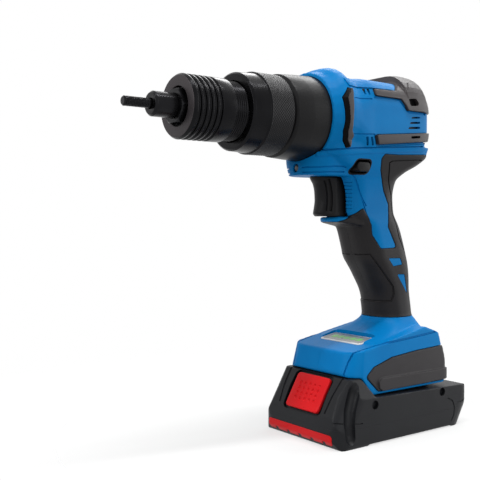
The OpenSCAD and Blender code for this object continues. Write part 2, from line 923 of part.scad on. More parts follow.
// Plan of the trigger: square at the rear, half an ellipse at the front
function trigger_plan() =
  let (x = trigger_rear + trigger_reach - trigger_round, y = trigger_w / 2, last = 2 * round_steps)
  concat(
    [[trigger_rear, -y]],
    [for (i = [0 : last]) let (a = 180 * i / last - 90) [x + trigger_round * cos(a), y * sin(a)]],
    [[trigger_rear, y]]
  );

plunger_z = trigger_z + trigger_h / 2;

module trigger() {
  color(grey) {
    intersection() {
      side_prism(trigger_points(), -trigger_w / 2, trigger_w / 2);
      linear_extrude(axis_z)
        polygon(trigger_plan());
    }
    translate([switch_front - plunger_in, 0, plunger_z])
      rotate([0, 90, 0])
        cylinder(h = trigger_rear - switch_front + plunger_in + cut, r = plunger_r);
  }
}

// One unbroken wire wound along +Z, from straight points on a helix
function coil_ring(r, wire, turns, length, k) =
  let (a = 360 * k / curl_rings, z = wire + (length - 2 * wire) * k / (turns * curl_rings))
  [for (j = [0 : wire_sides - 1])
    let (b = 360 * j / wire_sides, q = r + wire * cos(b))
    [q * cos(a), q * sin(a), z + wire * sin(b)]];

module coil(r, wire, turns, length) {
  last = turns * curl_rings;
  points = [for (k = [0 : last]) each coil_ring(r, wire, turns, length, k)];
  sides = [
    for (k = [0 : last - 1], j = [0 : wire_sides - 1])
      let (n = (j + 1) % wire_sides, a = k * wire_sides, b = a + wire_sides)
      each [[a + j, b + j, b + n], [a + j, b + n, a + n]]
  ];
  caps = [
    for (j = [1 : wire_sides - 2])
      each [[0, j, j + 1], [last * wire_sides, last * wire_sides + j + 1, last * wire_sides + j]]
  ];
  polyhedron(points = points, faces = concat(sides, caps));
}

module trigger_spring() {
  color(steel)
    translate([switch_front + seat, 0, plunger_z])
      rotate([0, 90, 0])
        coil(spring_r, spring_wire_r, spring_turns, trigger_rear - switch_front - 2 * seat);
}

module trigger_switch() {
  height = trigger_h - 2 * switch_z_gap;
  color(black)
    difference() {
      translate([switch_front - switch_len, -switch_half_w, plunger_z - height / 2])
        cube([switch_len, 2 * switch_half_w, height]);
      translate([switch_front - plunger_in - trigger_travel - cut, 0, plunger_z])
        rotate([0, 90, 0])
          cylinder(h = far, r = plunger_r + run);
    }
}

// Pocket that the trigger slides in, and the room behind it for its plunger
module trigger_pocket() {
  translate([trigger_rear - pocket_depth, -trigger_w / 2 - fit, trigger_z - fit])
    cube([trigger_reach + pocket_depth, trigger_w + 2 * fit, trigger_h + 2 * fit]);
}

// Ribs inside the grip that hold the switch
module switch_ribs() {
  for (side = [-1, 1])
    translate([switch_front - switch_len, side > 0 ? switch_half_w + fit : -grip_w, plunger_z - switch_z_gap])
      cube([switch_len, grip_w - switch_half_w - fit, 2 * switch_z_gap]);
}

// Direction selector: a bar through the chin that is pushed from side to side
selector_x = 25.5;
selector_rise = 6.2;
selector_z = chin_z + selector_rise;
selector_l = 12;
selector_h = 6.6;
selector_len = 44;
selector_round = 3;
recess_l = 20;
recess_h = 10.6;
recess_floor = 18.5;
recess_shift = 2.5;

module bar_y(length, l, h, r) {
  translate([0, length / 2, 0])
    rotate([90, 0, 0])
      linear_extrude(length)
        polygon(rounded_rect(l / 2, h / 2, r));
}

module direction_selector() {
  color(black)
    translate([selector_x, selector_travel / 2, selector_z])
      bar_y(selector_len, selector_l, selector_h, selector_round);
}

module selector_cut() {
  translate([selector_x, 0, selector_z])
    bar_y(far, selector_l + 2 * fit, selector_h + 2 * fit, selector_round);
  for (side = [-1, 1])
    translate([selector_x + recess_shift, side * (recess_floor + base_w / 2), selector_z])
      bar_y(base_w, recess_l, recess_h, recess_h / 2);
}

// Work light in the front of the chin
light_r = 2.6;
light_len = 8;
light_rise = 5;
light_sink = 4.6;
light_z = chin_z + light_rise;
light_front = chin_front - light_sink;

module work_light() {
  color("white")
    translate([light_front - light_len, 0, light_z])
      rotate([0, 90, 0])
        cylinder(h = light_len, r = light_r);
}

module light_hole() {
  translate([light_front - light_len, 0, light_z])
    rotate([0, 90, 0])
      cylinder(h = far, r = light_r + seat);
}

// Indicator plate on the sloping top of the base
panel_x = 17;
panel_l = 16;
panel_w = 40;
panel_t = 1.2;
panel_proud = 0.5;
panel_round = 2.5;

module on_base_top(lift) {
  translate([base_top_front[0], 0, base_top_front[1]])
    rotate([0, base_top_slope, 0])
      translate([panel_x - base_top_front[0], 0, lift])
        children();
}

module control_panel() {
  color(grey)
    on_base_top(panel_proud - panel_t)
      linear_extrude(panel_t)
        polygon(rounded_rect(panel_l / 2, panel_w / 2, panel_round));
}

module panel_pocket() {
  on_base_top(panel_proud - panel_t - seat)
    linear_extrude(panel_t + cut)
      polygon(rounded_rect(panel_l / 2 + set_gap, panel_w / 2 + set_gap, panel_round));
}

// Housing screws: places in X and Z from the pieces they hold, with half the width there
screw_shank_r = 1.5;
screw_boss_r = 3.8;
screw_head_r = 2.8;
screw_head_t = 2.4;
screw_thread = 12;
screw_head_share = 0.885;
screw_chin_share = 0.96;
screw_chin_rise = 5.5;
screw_web_share = 0.307;
screw_foot_share = 0.08;
screw_base_shares = [[0.36, 0.50], [-0.38, 0.62]];
screw_top_y = 12;
screw_top_drop = 2;
screw_grip_y = 9;
screw_base_y = 20;
screw_places = [
  [head_rear + head_len * screw_head_share, axis_z + head_rise - screw_top_drop, screw_top_y],
  [head_rear + head_len * screw_chin_share, chin_z + screw_chin_rise, screw_grip_y],
  [head_rear + head_len * screw_web_share, chin_z + screw_chin_rise, screw_top_y],
  [grip_foot_x + chin_lap, grip_foot_z + grip_h * screw_foot_share, screw_grip_y],
  each [for (v = base_points(screw_base_shares)) [v[0], v[1], screw_base_y]]
];

module along_y(p) {
  translate([p[0], 0, p[1]])
    rotate([90, 0, 0])
      children();
}

module housing_screws() {
  color(dark_steel)
    for (p = screw_places)
      along_y(p) {
        translate([0, 0, -screw_thread])
          cylinder(h = screw_thread + p[2] - screw_head_t + seat, r = screw_shank_r);
        translate([0, 0, p[2] - screw_head_t])
          cylinder(h = screw_head_t, r = screw_head_r);
      }
}

module screw_bosses() {
  for (p = screw_places)
    along_y(p)
      translate([0, 0, -far / 2])
        cylinder(h = far, r = screw_boss_r, $fn = 32);
}

module screw_holes() {
  for (p = screw_places)
    along_y(p) {
      translate([0, 0, -screw_thread - fit])
        cylinder(h = screw_thread + p[2], r = screw_shank_r + set_gap, $fn = 32);
      translate([0, 0, p[2] - screw_head_t - set_gap])
        cylinder(h = far, r = screw_head_r + fit, $fn = 32);
    }
}

// Battery rail under the base and the slot that takes it
rail_half_w = 24;
rail_neck_half_w = 20;
rail_neck_h = 3.4;
rail_h = 9.4;
rail_front = 37;
rail_rear = -46;
rail_gap = 0.4;

module rail_slot() {
  length = far;
  translate([rail_rear - rail_gap, 0, batt_h - cut]) {
    translate([0, -rail_neck_half_w - rail_gap, 0])
      cube([length, 2 * (rail_neck_half_w + rail_gap), rail_h]);
    translate([0, -rail_half_w - rail_gap, cut + rail_neck_h])
      cube([length, 2 * (rail_half_w + rail_gap), rail_h - rail_neck_h + rail_gap]);
  }
}

room_front = 32;
room_rear = -36;
room_z = batt_h + rail_h + rail_gap;

// The hollow of the housing, which ends on a row of the grip's table, under the motor
hollow_last = len(grip_shares) - 3;

module housing_hollow() {
  on_axis(end_plate_rear - fit)
    cylinder(h = plate_rear - end_plate_rear, r = stator_r + fit);
  on_axis(plate_rear - fit)
    cylinder(h = far, r = case_out_r + set_gap);
  on_axis(head_front - flange_len - fit)
    cylinder(h = far, r = sleeve_r + set_gap);
  grip_loft(wall, hollow_last);
  intersection() {
    base_block(wall);
    translate([-far / 2, -base_w / 2, room_z - cut])
      cube([far, base_w, base_h]);
  }
}

module housing_outer() {
  head_loft(head_shares, 0);
  chin_loft(0);
  grip_loft(0);
  base_block(0);
  trigger_lip();
}

module trim_room() {
  difference() {
    union() {
      side_prism(head_points(cover_shares_xz), -base_w, base_w);
      side_prism(head_points(bar_shares_xz), -base_w, base_w);
      side_prism(head_points(chevron_shares_xz), -base_w, base_w);
    }
    head_loft(head_shares, trim_t + set_gap);
  }
}

module housing() {
  difference() {
    union() {
      difference() {
        housing_outer();
        housing_hollow();
      }
      intersection() {
        housing_outer();
        union() {
          switch_ribs();
          screw_bosses();
        }
      }
    }
    on_axis(plate_rear - fit)
      cylinder(h = far, r = case_out_r + set_gap);
    trim_room();
    difference() {
      rubber_region(0);
      grip_loft(rubber_t + set_gap);
      head_loft(head_shares, rubber_t + set_gap);
    }
    difference() {
      side_prism(base_points(insert_shares), -base_w, base_w);
      base_block(trim_t + set_gap);
    }
    trigger_pocket();
    selector_cut();
    light_hole();
    panel_pocket();
    screw_holes();
    rail_slot();
    vents();
  }
}

module half_space(side) {
  translate([-far / 2, side > 0 ? seam : -far - seam, -cut])
    cube([far, far, far + axis_z]);
}

module left_housing() {
  color(blue)
    intersection() {
      housing();
      half_space(1);
    }
}

module right_housing() {
  color(blue)
    intersection() {
      housing();
      half_space(-1);
    }
}

module rear_cover() {
  color(grey)
    intersection() {
      side_prism(head_points(cover_shares_xz), -base_w, base_w);
      difference() {
        union() {
          head_loft(head_shares, -trim_proud);
          head_loft(cover_shares, 0);
        }
        head_loft(head_shares, trim_t);
      }
    }
}

// A trim that follows the head's skin inside a side outline
module head_trim(shares, side) {
  color(grey)
    intersection() {
      side_prism(head_points(shares), -base_w, base_w);
      half_space(side);
      difference() {
        head_loft(head_shares, -trim_proud);
        head_loft(head_shares, trim_t);
      }
    }
}

module left_side_bar() { head_trim(bar_shares_xz, 1); }
module right_side_bar() { head_trim(bar_shares_xz, -1); }
module left_chevron() { head_trim(chevron_shares_xz, 1); }
module right_chevron() { head_trim(chevron_shares_xz, -1); }

module grip_rubber(side) {
  color(rubber_black)
    intersection() {
      rubber_region(-set_gap);
      half_space(side);
      difference() {
        grip_loft(0);
        grip_loft(rubber_t);
        head_loft(head_shares, 0);
      }
    }
}

module left_grip_rubber() { grip_rubber(1); }
module right_grip_rubber() { grip_rubber(-1); }

module base_insert(side) {
  color(grey)
    intersection() {
      side_prism(base_points(insert_shares), -base_w, base_w);
      half_space(side);
      difference() {
        base_block(-trim_proud);
        base_block(trim_t);
      }
    }
}

module left_base_insert() { base_insert(1); }
module right_base_insert() { base_insert(-1); }

// Terminal block and control board in the base
blade_places = [-10, 10];
blade_rear = -42;
blade_len = 16;
blade_w = 1;
blade_h = 5;
block_half_w = 15;
block_h = 4;
board_t = 1.6;
board_half_w = 26;
chip_h = 3;

module terminal_block() {
  color(black) {
    translate([blade_rear, -block_half_w, room_z])
      cube([room_front + blade_len, 2 * block_half_w, block_h]);
    for (y = blade_places)
      translate([blade_rear, y - blade_w / 2, room_z - blade_h])
        cube([blade_len, blade_w, blade_h + cut]);
  }
}

module control_board() {
  color(green) {
    translate([room_rear, -board_half_w, room_z + block_h + fit])
      cube([room_front - room_rear, 2 * board_half_w, board_t]);
    for (y = blade_places)
      translate([room_rear / 2, y - chip_h, room_z + block_h + fit + board_t - seat])
        cube([room_front, 2 * chip_h, chip_h]);
  }
}

// Battery: a side outline in shares of its length and shoulder height, cut to a rounded plan
batt_outline_shares = [
  [0.47, 0.00], [0.495, 0.16], [0.50, 0.32], [0.485, 0.64], [0.435, 1.06], [0.375, 1.41], [0.30, 1.41],
  [0.235, 1.00], [-0.475, 0.94], [-0.497, 0.80], [-0.50, 0.40], [-0.492, 0.12], [-0.475, 0.00]
];
batt_x = -3;
batt_rear_round = 7;
batt_front_round = 12;
batt_slope_round = 15;
batt_taper_share = 0.84;
batt_top_share = 1.41;
batt_split = 13;
board_seat = 0.3;
cell_gap = 0.5;
cell_pitch = 2 * cell_r + cell_gap;
cell_front_gap = 5.8;
nose_depth = 20;
cell_len = batt_w - 2 * (batt_wall + cell_end_gap);
cell_front_x = batt_x + batt_len / 2 - nose_depth - cell_front_gap - cell_r;
cell_rear_x = batt_x - batt_len / 2 + batt_wall + cell_r + fit;
cell_count = 1 + floor((cell_front_x - cell_rear_x) / cell_pitch);
cell_z = batt_wall + cell_r + fit;

function batt_points() = [for (s = batt_outline_shares) [batt_x + batt_len * s[0], batt_h * s[1]]];

slope_low = batt_points()[3];
slope_high = batt_points()[5];

module batt_block(inset) {
  intersection() {
    translate([0, batt_w, 0])
      rotate([90, 0, 0])
        linear_extrude(2 * batt_w)
          offset(delta = -inset)
            polygon(batt_points());
    linear_extrude(axis_z)
      polygon(plan_points(
        batt_x - batt_len / 2 + inset, batt_x + batt_len / 2 - inset,
        batt_w / 2 - inset, batt_rear_round - inset, batt_front_round - inset
      ));
    front_taper(batt_w / 2 - inset, batt_taper_share, batt_h, batt_h * batt_top_share);
    leaning_front(slope_low, slope_high, batt_w / 2, batt_slope_round, inset);
  }
}

module batt_hollow() {
  intersection() {
    batt_block(batt_wall);
    translate([batt_x - batt_len, -batt_w, 0])
      cube([batt_len + batt_len / 2 - nose_depth, 2 * batt_w, batt_h - batt_wall]);
  }
}

module batt_rail() {
  difference() {
    translate([rail_rear, 0, batt_h - cut]) {
      translate([0, -rail_neck_half_w, 0])
        cube([rail_front - rail_rear, 2 * rail_neck_half_w, rail_h]);
      translate([0, -rail_half_w, cut + rail_neck_h + rail_gap])
        cube([rail_front - rail_rear, 2 * rail_half_w, rail_h - rail_neck_h - rail_gap]);
    }
    for (y = blade_places)
      translate([rail_rear - cut, y - blade_w, room_z - blade_h - fit])
        cube([blade_rear - rail_rear + blade_len + 2 * cut, 2 * blade_w, far]);
  }
}

module battery_upper_case() {
  color(black)
    difference() {
      union() {
        difference() {
          batt_block(0);
          batt_hollow();
          translate([-batt_len, -batt_w, -cut])
            cube([2 * batt_len, 2 * batt_w, batt_split + cut]);
        }
        batt_rail();
      }
      button_pocket();
      strip_room();
      batt_screw_holes();
    }
}

module battery_lower_case() {
  color(black)
    difference() {
      batt_block(0);
      batt_hollow();
      translate([-batt_len, -batt_w, batt_split - seam])
        cube([2 * batt_len, 2 * batt_w, far]);
      strip_room();
      batt_screw_holes();
    }
}

module battery_cells() {
  color(green)
    for (i = [0 : cell_count - 1])
      translate([cell_front_x - cell_pitch * i, cell_len / 2, cell_z])
        rotate([90, 0, 0])
          cylinder(h = cell_len, r = cell_r);
}

module battery_board() {
  color(green)
    translate([cell_front_x - cell_pitch * (cell_count - 1), -board_half_w, cell_z + cell_r + board_seat])
      cube([cell_pitch * (cell_count - 1), 2 * board_half_w, board_t]);
}

// Battery screws stand in corner posts, from the underside up
batt_screw_shares = [[0.41, 0.40], [0.41, -0.40], [-0.46, 0.40], [-0.46, -0.40]];
batt_screw_r = 1.3;
batt_screw_head_r = 2.4;
batt_screw_len = 16;
batt_screw_sink = 2;

module battery_screws() {
  color(steel)
    for (s = batt_screw_shares)
      translate([batt_x + batt_len * s[0], batt_w * s[1], batt_screw_sink]) {
        cylinder(h = batt_screw_len, r = batt_screw_r);
        cylinder(h = batt_screw_sink, r = batt_screw_head_r);
      }
}

module batt_screw_holes() {
  for (s = batt_screw_shares)
    translate([batt_x + batt_len * s[0], batt_w * s[1], 0]) {
      cylinder(h = batt_screw_len + batt_screw_sink + fit, r = batt_screw_r + seat);
      translate([0, 0, -cut])
        cylinder(h = 2 * batt_screw_sink + cut + seat, r = batt_screw_head_r + seat);
    }
}

// Red strip along the foot of the battery's front
strip_half_w = 29;
strip_z = 2.4;
strip_h = 7;
strip_t = 2;

module strip_block(gap) {
  translate([batt_len / 4, -strip_half_w - gap, strip_z - gap])
    cube([batt_len, 2 * (strip_half_w + gap), strip_h + 2 * gap]);
}

module battery_red_strip() {
  color(red)
    intersection() {
      strip_block(0);
      difference() {
        batt_block(0);
        batt_block(strip_t);
      }
    }
}

module strip_room() {
  difference() {
    strip_block(set_gap);
    batt_block(strip_t + set_gap);
  }
}

// Release button on the sloping front of the battery, pushed in square to the slope
button_half_w = 15.5;
button_t = 9;
button_proud = 0.8;
button_slope = atan((slope_low[0] - slope_high[0]) / (slope_high[1] - slope_low[1]));
button_len = 23;
button_mid = (slope_low + slope_high) / 2;
button_round = 1.5;
button_spring_solid = 2;
button_spring_len = button_travel + button_spring_solid;
button_spring_r = 3;
button_spring_turns = 3;

// A frame on the button: +X square out of the slope, +Z up along it
module on_slope() {
  translate([button_mid[0], 0, button_mid[1]])
    rotate([0, -button_slope, 0])
      children();
}

module button_bar(x0, x1, grow) {
  translate([x0, 0, 0])
    rotate([90, 0, 90])
      linear_extrude(x1 - x0)
        polygon(rounded_rect(button_half_w + grow, button_len / 2 + grow, button_round + grow));
}

module release_button() {
  color(red)
    on_slope()
      button_bar(button_proud - button_t, button_proud, 0);
}

module button_pocket() {
  on_slope()
    button_bar(button_proud - button_t - button_spring_len, far, fit);
}

module release_spring() {
  color(steel)
    on_slope()
      translate([button_proud - button_t - seat, 0, 0])
        rotate([0, -90, 0])
          coil(button_spring_r, spring_wire_r, button_spring_turns, button_spring_len - 2 * seat);
}

left_housing();
right_housing();
rear_cover();
left_side_bar();
right_side_bar();
left_chevron();
right_chevron();
left_grip_rubber();
right_grip_rubber();
left_base_insert();
right_base_insert();
control_panel();
work_light();
housing_screws();
gear_case();
ring_gear();
nut_bearing();
bearing_plate();
front_bearing();
rear_bearing();
motor_end_plate();
motor_stator();
stator_windings();
collar_retainer();
nose_key();
rotor_shaft();
rotor_magnets();
cooling_fan();
sun_gear();
planet_carrier();
ball_nut();
planet(0);  // planet_gear_1
planet(1);  // planet_gear_2
planet(2);  // planet_gear_3
ball_screw();
guide_pin();
mandrel_holder();
mandrel();
stroke_collar();
nose_sleeve();
anvil();
anvil_lock_nut();
trigger();
trigger_spring();
trigger_switch();
direction_selector();
control_board();
terminal_block();
battery_upper_case();
battery_lower_case();
battery_cells();
battery_board();
battery_screws();
battery_red_strip();
release_button();
release_spring();
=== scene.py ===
import json
import math

import bpy
from mathutils import Matrix, Vector


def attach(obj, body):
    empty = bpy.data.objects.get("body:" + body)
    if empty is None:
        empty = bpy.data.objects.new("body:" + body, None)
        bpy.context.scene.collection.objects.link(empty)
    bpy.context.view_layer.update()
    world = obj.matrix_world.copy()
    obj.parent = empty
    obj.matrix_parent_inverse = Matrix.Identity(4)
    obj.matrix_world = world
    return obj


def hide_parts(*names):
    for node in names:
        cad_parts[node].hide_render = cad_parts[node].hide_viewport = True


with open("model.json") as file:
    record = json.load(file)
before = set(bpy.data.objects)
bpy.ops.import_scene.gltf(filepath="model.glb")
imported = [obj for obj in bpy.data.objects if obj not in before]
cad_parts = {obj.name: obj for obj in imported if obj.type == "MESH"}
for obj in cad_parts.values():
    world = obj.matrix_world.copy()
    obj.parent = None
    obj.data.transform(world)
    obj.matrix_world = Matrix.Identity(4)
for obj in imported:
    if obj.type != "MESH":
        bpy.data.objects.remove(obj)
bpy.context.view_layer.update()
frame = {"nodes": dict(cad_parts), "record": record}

# Housing: two halves of blue nylon, injection moulded with a fine grain and screwed together
# along the middle plane. Head, chin, grip and base flow into one shell, so it is lofted through
# its cross-sections in millimetres, fused and softened, and then grooved and pierced.
AXIS_Z = 216.0
FAR = 60
PARTING = 0.05
HEAD_REAR, HEAD_LENGTH, HEAD_HALF, HEAD_BELOW, HEAD_ABOVE = -43, 101, 31, 30, 32.5
CHIN_REAR, CHIN_LOW, CHIN_TALL, CHIN_REACH, CHIN_HALF = -7, 178, 23.8, 38, 25
GRIP_LOW, GRIP_TALL, GRIP_REAR, GRIP_SWEEP, GRIP_HALF_DEEP, GRIP_HALF_WIDE = 80, 100, -24, 30, 21.7, 18.25
# Share of the length, then half width, height above and below the axis, and corner, as shares
HEAD_ROWS = [
    (0.00, 0.38, 0.52, 0.52, 0.36), (0.012, 0.52, 0.68, 0.62, 0.50), (0.04, 0.72, 0.82, 0.76, 0.66),
    (0.09, 0.91, 0.90, 0.88, 0.70), (0.15, 0.99, 0.915, 0.93, 0.66), (0.24, 1.00, 0.89, 0.95, 0.62),
    (0.62, 1.00, 0.893, 1.00, 0.60), (0.70, 1.01, 0.885, 1.00, 0.70), (0.76, 1.018, 0.91, 1.00, 0.824),
    (0.80, 1.027, 1.00, 1.00, 0.92), (0.84, 1.036, 1.09, 1.00, 0.95), (0.90, 1.036, 1.045, 1.00, 0.92),
    (0.95, 1.015, 0.965, 1.00, 0.96), (1.00, 0.98, 0.945, 1.00, 0.98),
]
# Share of the height, then forward sweep, half depth and half width, as shares
GRIP_ROWS = [
    (-0.15, 0.45, 1.52, 1.60), (-0.11, 0.22, 1.22, 1.36), (-0.07, 0.07, 0.97, 1.15), (-0.03, 0.01, 0.82, 1.00),
    (0.00, 0.02, 0.75, 0.93), (0.14, 0.10, 0.76, 0.92), (0.30, 0.27, 0.90, 0.97), (0.42, 0.45, 1.00, 1.00),
    (0.50, 0.53, 0.99, 1.00), (0.66, 0.74, 0.98, 0.99), (0.70, 0.88, 1.08, 0.96), (0.74, 0.97, 1.14, 0.94),
    (0.85, 1.00, 1.12, 0.96), (0.96, 1.02, 1.20, 1.06), (1.02, 1.04, 1.48, 1.24), (1.08, 1.06, 2.01, 1.40),
    (1.14, 1.075, 2.32, 1.54), (1.20, 1.03, 2.34, 1.58),
]
# Share of the height, then reach and half width, as shares
CHIN_ROWS = [(0.00, 0.95, 0.66), (0.22, 0.945, 0.76), (0.48, 0.93, 0.86), (0.72, 0.90, 0.93), (1.00, 0.84, 0.97)]
BASE_SIDE = [
    (46.0, 44.1), (41.2, 60.1), (-29.8, 72.8), (-43.2, 67.9), (-45.6, 58.5), (-49.0, 43.7), (-50.9, 31.8),
    (27.3, 31.8), (35.8, 44.1),
]


def only(obj):
    bpy.ops.object.select_all(action="DESELECT")
    obj.select_set(True)
    bpy.context.view_layer.objects.active = obj


def facing_out(obj):
    only(obj)
    bpy.ops.object.mode_set(mode="EDIT")
    bpy.ops.mesh.select_all(action="SELECT")
    bpy.ops.mesh.normals_make_consistent(inside=False)
    bpy.ops.object.mode_set(mode="OBJECT")
    return obj


def loft(rings):
    count = len(rings[0])
    points = [p for r in rings for p in r]
    faces = [tuple(range(count)), tuple(range(len(points) - count, len(points)))]
    for k in range(len(rings) - 1):
        for i in range(count):
            j = (i + 1) % count
            faces.append((k * count + i, k * count + j, (k + 1) * count + j, (k + 1) * count + i))
    mesh = bpy.data.meshes.new("loft")
    mesh.from_pydata(points, [], faces)
    obj = bpy.data.objects.new("loft", mesh)
    bpy.context.collection.objects.link(obj)
    return facing_out(obj)


def ring(half, low, high, corner, steps=8):
    r = min(corner, half, (high - low) / 2) * 0.999
    out = []
    corners = [(half - r, high - r), (r - half, high - r), (r - half, low + r), (half - r, low + r)]
    for k, (u, v) in enumerate(corners):
        for i in range(steps + 1):
            turn = math.pi / 2 * (k + i / steps)
            out.append((u + r * math.cos(turn), v + r * math.sin(turn)))
    return out


def between(rows, parts=5):
    # Rows in between the given ones, on curves that never overshoot them
    gap = [b[0] - a[0] for a, b in zip(rows, rows[1:])]

    def rise(k, c):
        return (rows[k + 1][c] - rows[k][c]) / gap[k]

    def slope(k, c):
        if k == 0 or k == len(rows) - 1:
            return rise(min(k, len(rows) - 2), c)
        a, b = rise(k - 1, c), rise(k, c)
        return 2 * a * b / (a + b) if a * b > 0 else 0.0

    out = []
    for k in range(len(gap)):
        for t in (i / parts for i in range(parts)):
            row = [rows[k][0] + t * gap[k]]
            for c in range(1, len(rows[0])):
                row.append(
                    (2 * t**3 - 3 * t * t + 1) * rows[k][c] + (t**3 - 2 * t * t + t) * gap[k] * slope(k, c)
                    + (3 * t * t - 2 * t**3) * rows[k + 1][c] + (t**3 - t * t) * gap[k] * slope(k + 1, c)
                )
            out.append(row)
    return out + [list(rows[-1])]


def rounded(points, radius, steps=5):
    out = []
    for i, p in enumerate(points):
        before, here, after = Vector(points[i - 1]), Vector(p), Vector(points[(i + 1) % len(points)])
        u, w = (before - here).normalized(), (after - here).normalized()
        back = radius / max(math.tan(u.angle(w) / 2), 0.05)
        back = min(back, 0.45 * (before - here).length, 0.45 * (after - here).length)
        for t in (k / steps for k in range(steps + 1)):
            out.append(((1 - t) ** 2 * (here + u * back) + 2 * t * (1 - t) * here + t * t * (here + w * back))[:])
    return out


def prism(outline, low, high, axis="Y"):
    place = {"X": lambda u, v, w: (w, u, v), "Y": lambda u, v, w: (u, w, v), "Z": lambda u, v, w: (u, v, w)}[axis]
    bpy.ops.object.select_all(action="DESELECT")
    bpy.ops.mesh.primitive_circle_add(vertices=len(outline), fill_type="NGON")
    obj = bpy.context.object
    for vert, point in zip(obj.data.vertices, outline):
        vert.co = place(point[0], point[1], low)
    bpy.ops.object.mode_set(mode="EDIT")
    bpy.ops.mesh.select_all(action="SELECT")
    bpy.ops.mesh.extrude_region_move(TRANSFORM_OT_translate={"value": place(0, 0, high - low)})
    bpy.ops.object.mode_set(mode="OBJECT")
    return facing_out(obj)


def apply(obj, kind, **values):
    only(obj)
    mod = obj.modifiers.new(kind.lower(), kind)
    for key, value in values.items():
        setattr(mod, key, value)
    bpy.ops.object.modifier_apply(modifier=mod.name)
    return obj


def combine(obj, tool, operation):
    apply(obj, "BOOLEAN", object=tool, operation=operation, solver="MANIFOLD")
    bpy.data.meshes.remove(tool.data)
    return obj


def copy_of(obj):
    twin = obj.copy()
    twin.data = obj.data.copy()
    bpy.context.collection.objects.link(twin)
    return twin


def swollen(obj, by):
    return apply(copy_of(obj), "DISPLACE", strength=by, mid_level=0.0)


def softened(obj, voxel, passes):
    obj.data.remesh_voxel_size = voxel
    only(obj)
    bpy.ops.object.voxel_remesh()
    return apply(obj, "SMOOTH", iterations=passes, factor=0.5)


def laid_on(obj, points, sunk=0.0, fade=0.0):
    # A line carried on to the nearest surface, which it leaves at both ends where it fades
    path = []
    for a, b in zip(points, points[1:]):
        for t in (k / 6 for k in range(6)):
            path.append(Vector(a).lerp(Vector(b), t))
    path.append(Vector(points[-1]))
    out = []
    for k, p in enumerate(path):
        spot, normal = obj.closest_point_on_mesh(p)[1:3]
        end = min(k, len(path) - 1 - k) / (0.15 * len(path))
        out.append(spot + normal * (fade * max(0.0, 1 - end) - sunk))
    return out


def tube(path, radius):
    line = bpy.data.curves.new("line", "CURVE")
    line.dimensions = "3D"
    line.bevel_depth = radius
    line.bevel_resolution = 4
    line.use_fill_caps = True
    spline = line.splines.new("POLY")
    spline.points.add(len(path) - 1)
    for point, place in zip(spline.points, path):
        point.co = (*place, 1.0)
    obj = bpy.data.objects.new("line", line)
    bpy.context.collection.objects.link(obj)
    only(obj)
    bpy.ops.object.convert(target="MESH")
    obj = bpy.context.object
    bpy.ops.object.mode_set(mode="EDIT")
    bpy.ops.mesh.select_all(action="SELECT")
    bpy.ops.mesh.remove_doubles(threshold=0.001)
    bpy.ops.object.mode_set(mode="OBJECT")
    return facing_out(obj)


def both_sides(points):
    return [points, [(x, -y, z) for x, y, z in points]]


def leaning(low, high, half, corner):
    up = (Vector((high[0], 0, high[1])) - Vector((low[0], 0, low[1]))).normalized()
    out = Vector((up.z, 0, -up.x))
    foot = Vector((low[0], 0, low[1]))
    flat = ring(half, -120.0, 0.0, corner)
    return loft([[foot + out * v + Vector((0, u, 0)) + up * w for u, v in flat] for w in (-90.0, 90.0)])


def along_head(rows):
    out = []
    for s, w, r, d, c in between(rows):
        flat = ring(HEAD_HALF * w, AXIS_Z - HEAD_BELOW * d, AXIS_Z + HEAD_ABOVE * r, HEAD_HALF * c)
        out.append([(HEAD_LENGTH * s + HEAD_REAR, y, z) for y, z in flat])
    return loft(out)


def disc(radius, count, u=0.0, v=AXIS_Z):
    turns = [k * math.pi / (count / 2) for k in range(count)]
    return [(u + radius * math.cos(t), v + radius * math.sin(t)) for t in turns]


head = along_head(HEAD_ROWS)
chin = loft([
    [
        (x + CHIN_REACH * n + CHIN_REAR, y, CHIN_LOW + CHIN_TALL * s)
        for x, y in ring(CHIN_REACH * n, -CHIN_HALF * w, CHIN_HALF * w, 16)
    ]
    for s, n, w in between(CHIN_ROWS)
])
grip = loft([
    [
        (x + GRIP_REAR + GRIP_SWEEP * c, y, GRIP_LOW + GRIP_TALL * s)
        for x, y in ring(GRIP_HALF_DEEP * d, -GRIP_HALF_WIDE * w, GRIP_HALF_WIDE * w, 13.9)
    ]
    for s, c, d, w in between(GRIP_ROWS)
])
base = prism(rounded(BASE_SIDE, 3.0), -40, 40)
combine(base, prism(rounded([(-51, -35), (60, -35), (60, 35), (-51, 35)], 9.0), 0, 100, "Z"), "INTERSECT")
combine(base, leaning((46.0, 44.1), (41.2, 60.1), 35, 15), "INTERSECT")
base_end = [(-35, 20), (35, 20), (35, 31.8), (31.3, 80), (-31.3, 80), (-35, 31.8)]
combine(base, prism(base_end, -90, 90, "X"), "INTERSECT")
LIP_ROWS = [(0.0, 15.0, 3.2), (0.4, 13.4, 1.8), (0.72, 11.6, 0.8), (0.88, 9.0, 0.3), (0.96, 6.0, 0.1), (1.0, 2.5, 0.0)]
lip = loft([[(16 + 21 * s, y, z) for y, z in ring(w, 147.4 - d, 150.5, 1.6)] for s, w, d in LIP_ROWS])
body = head
for part in (chin, grip, base, lip):
    combine(body, part, "UNION")
softened(body, 0.98, 6)
form = copy_of(body)

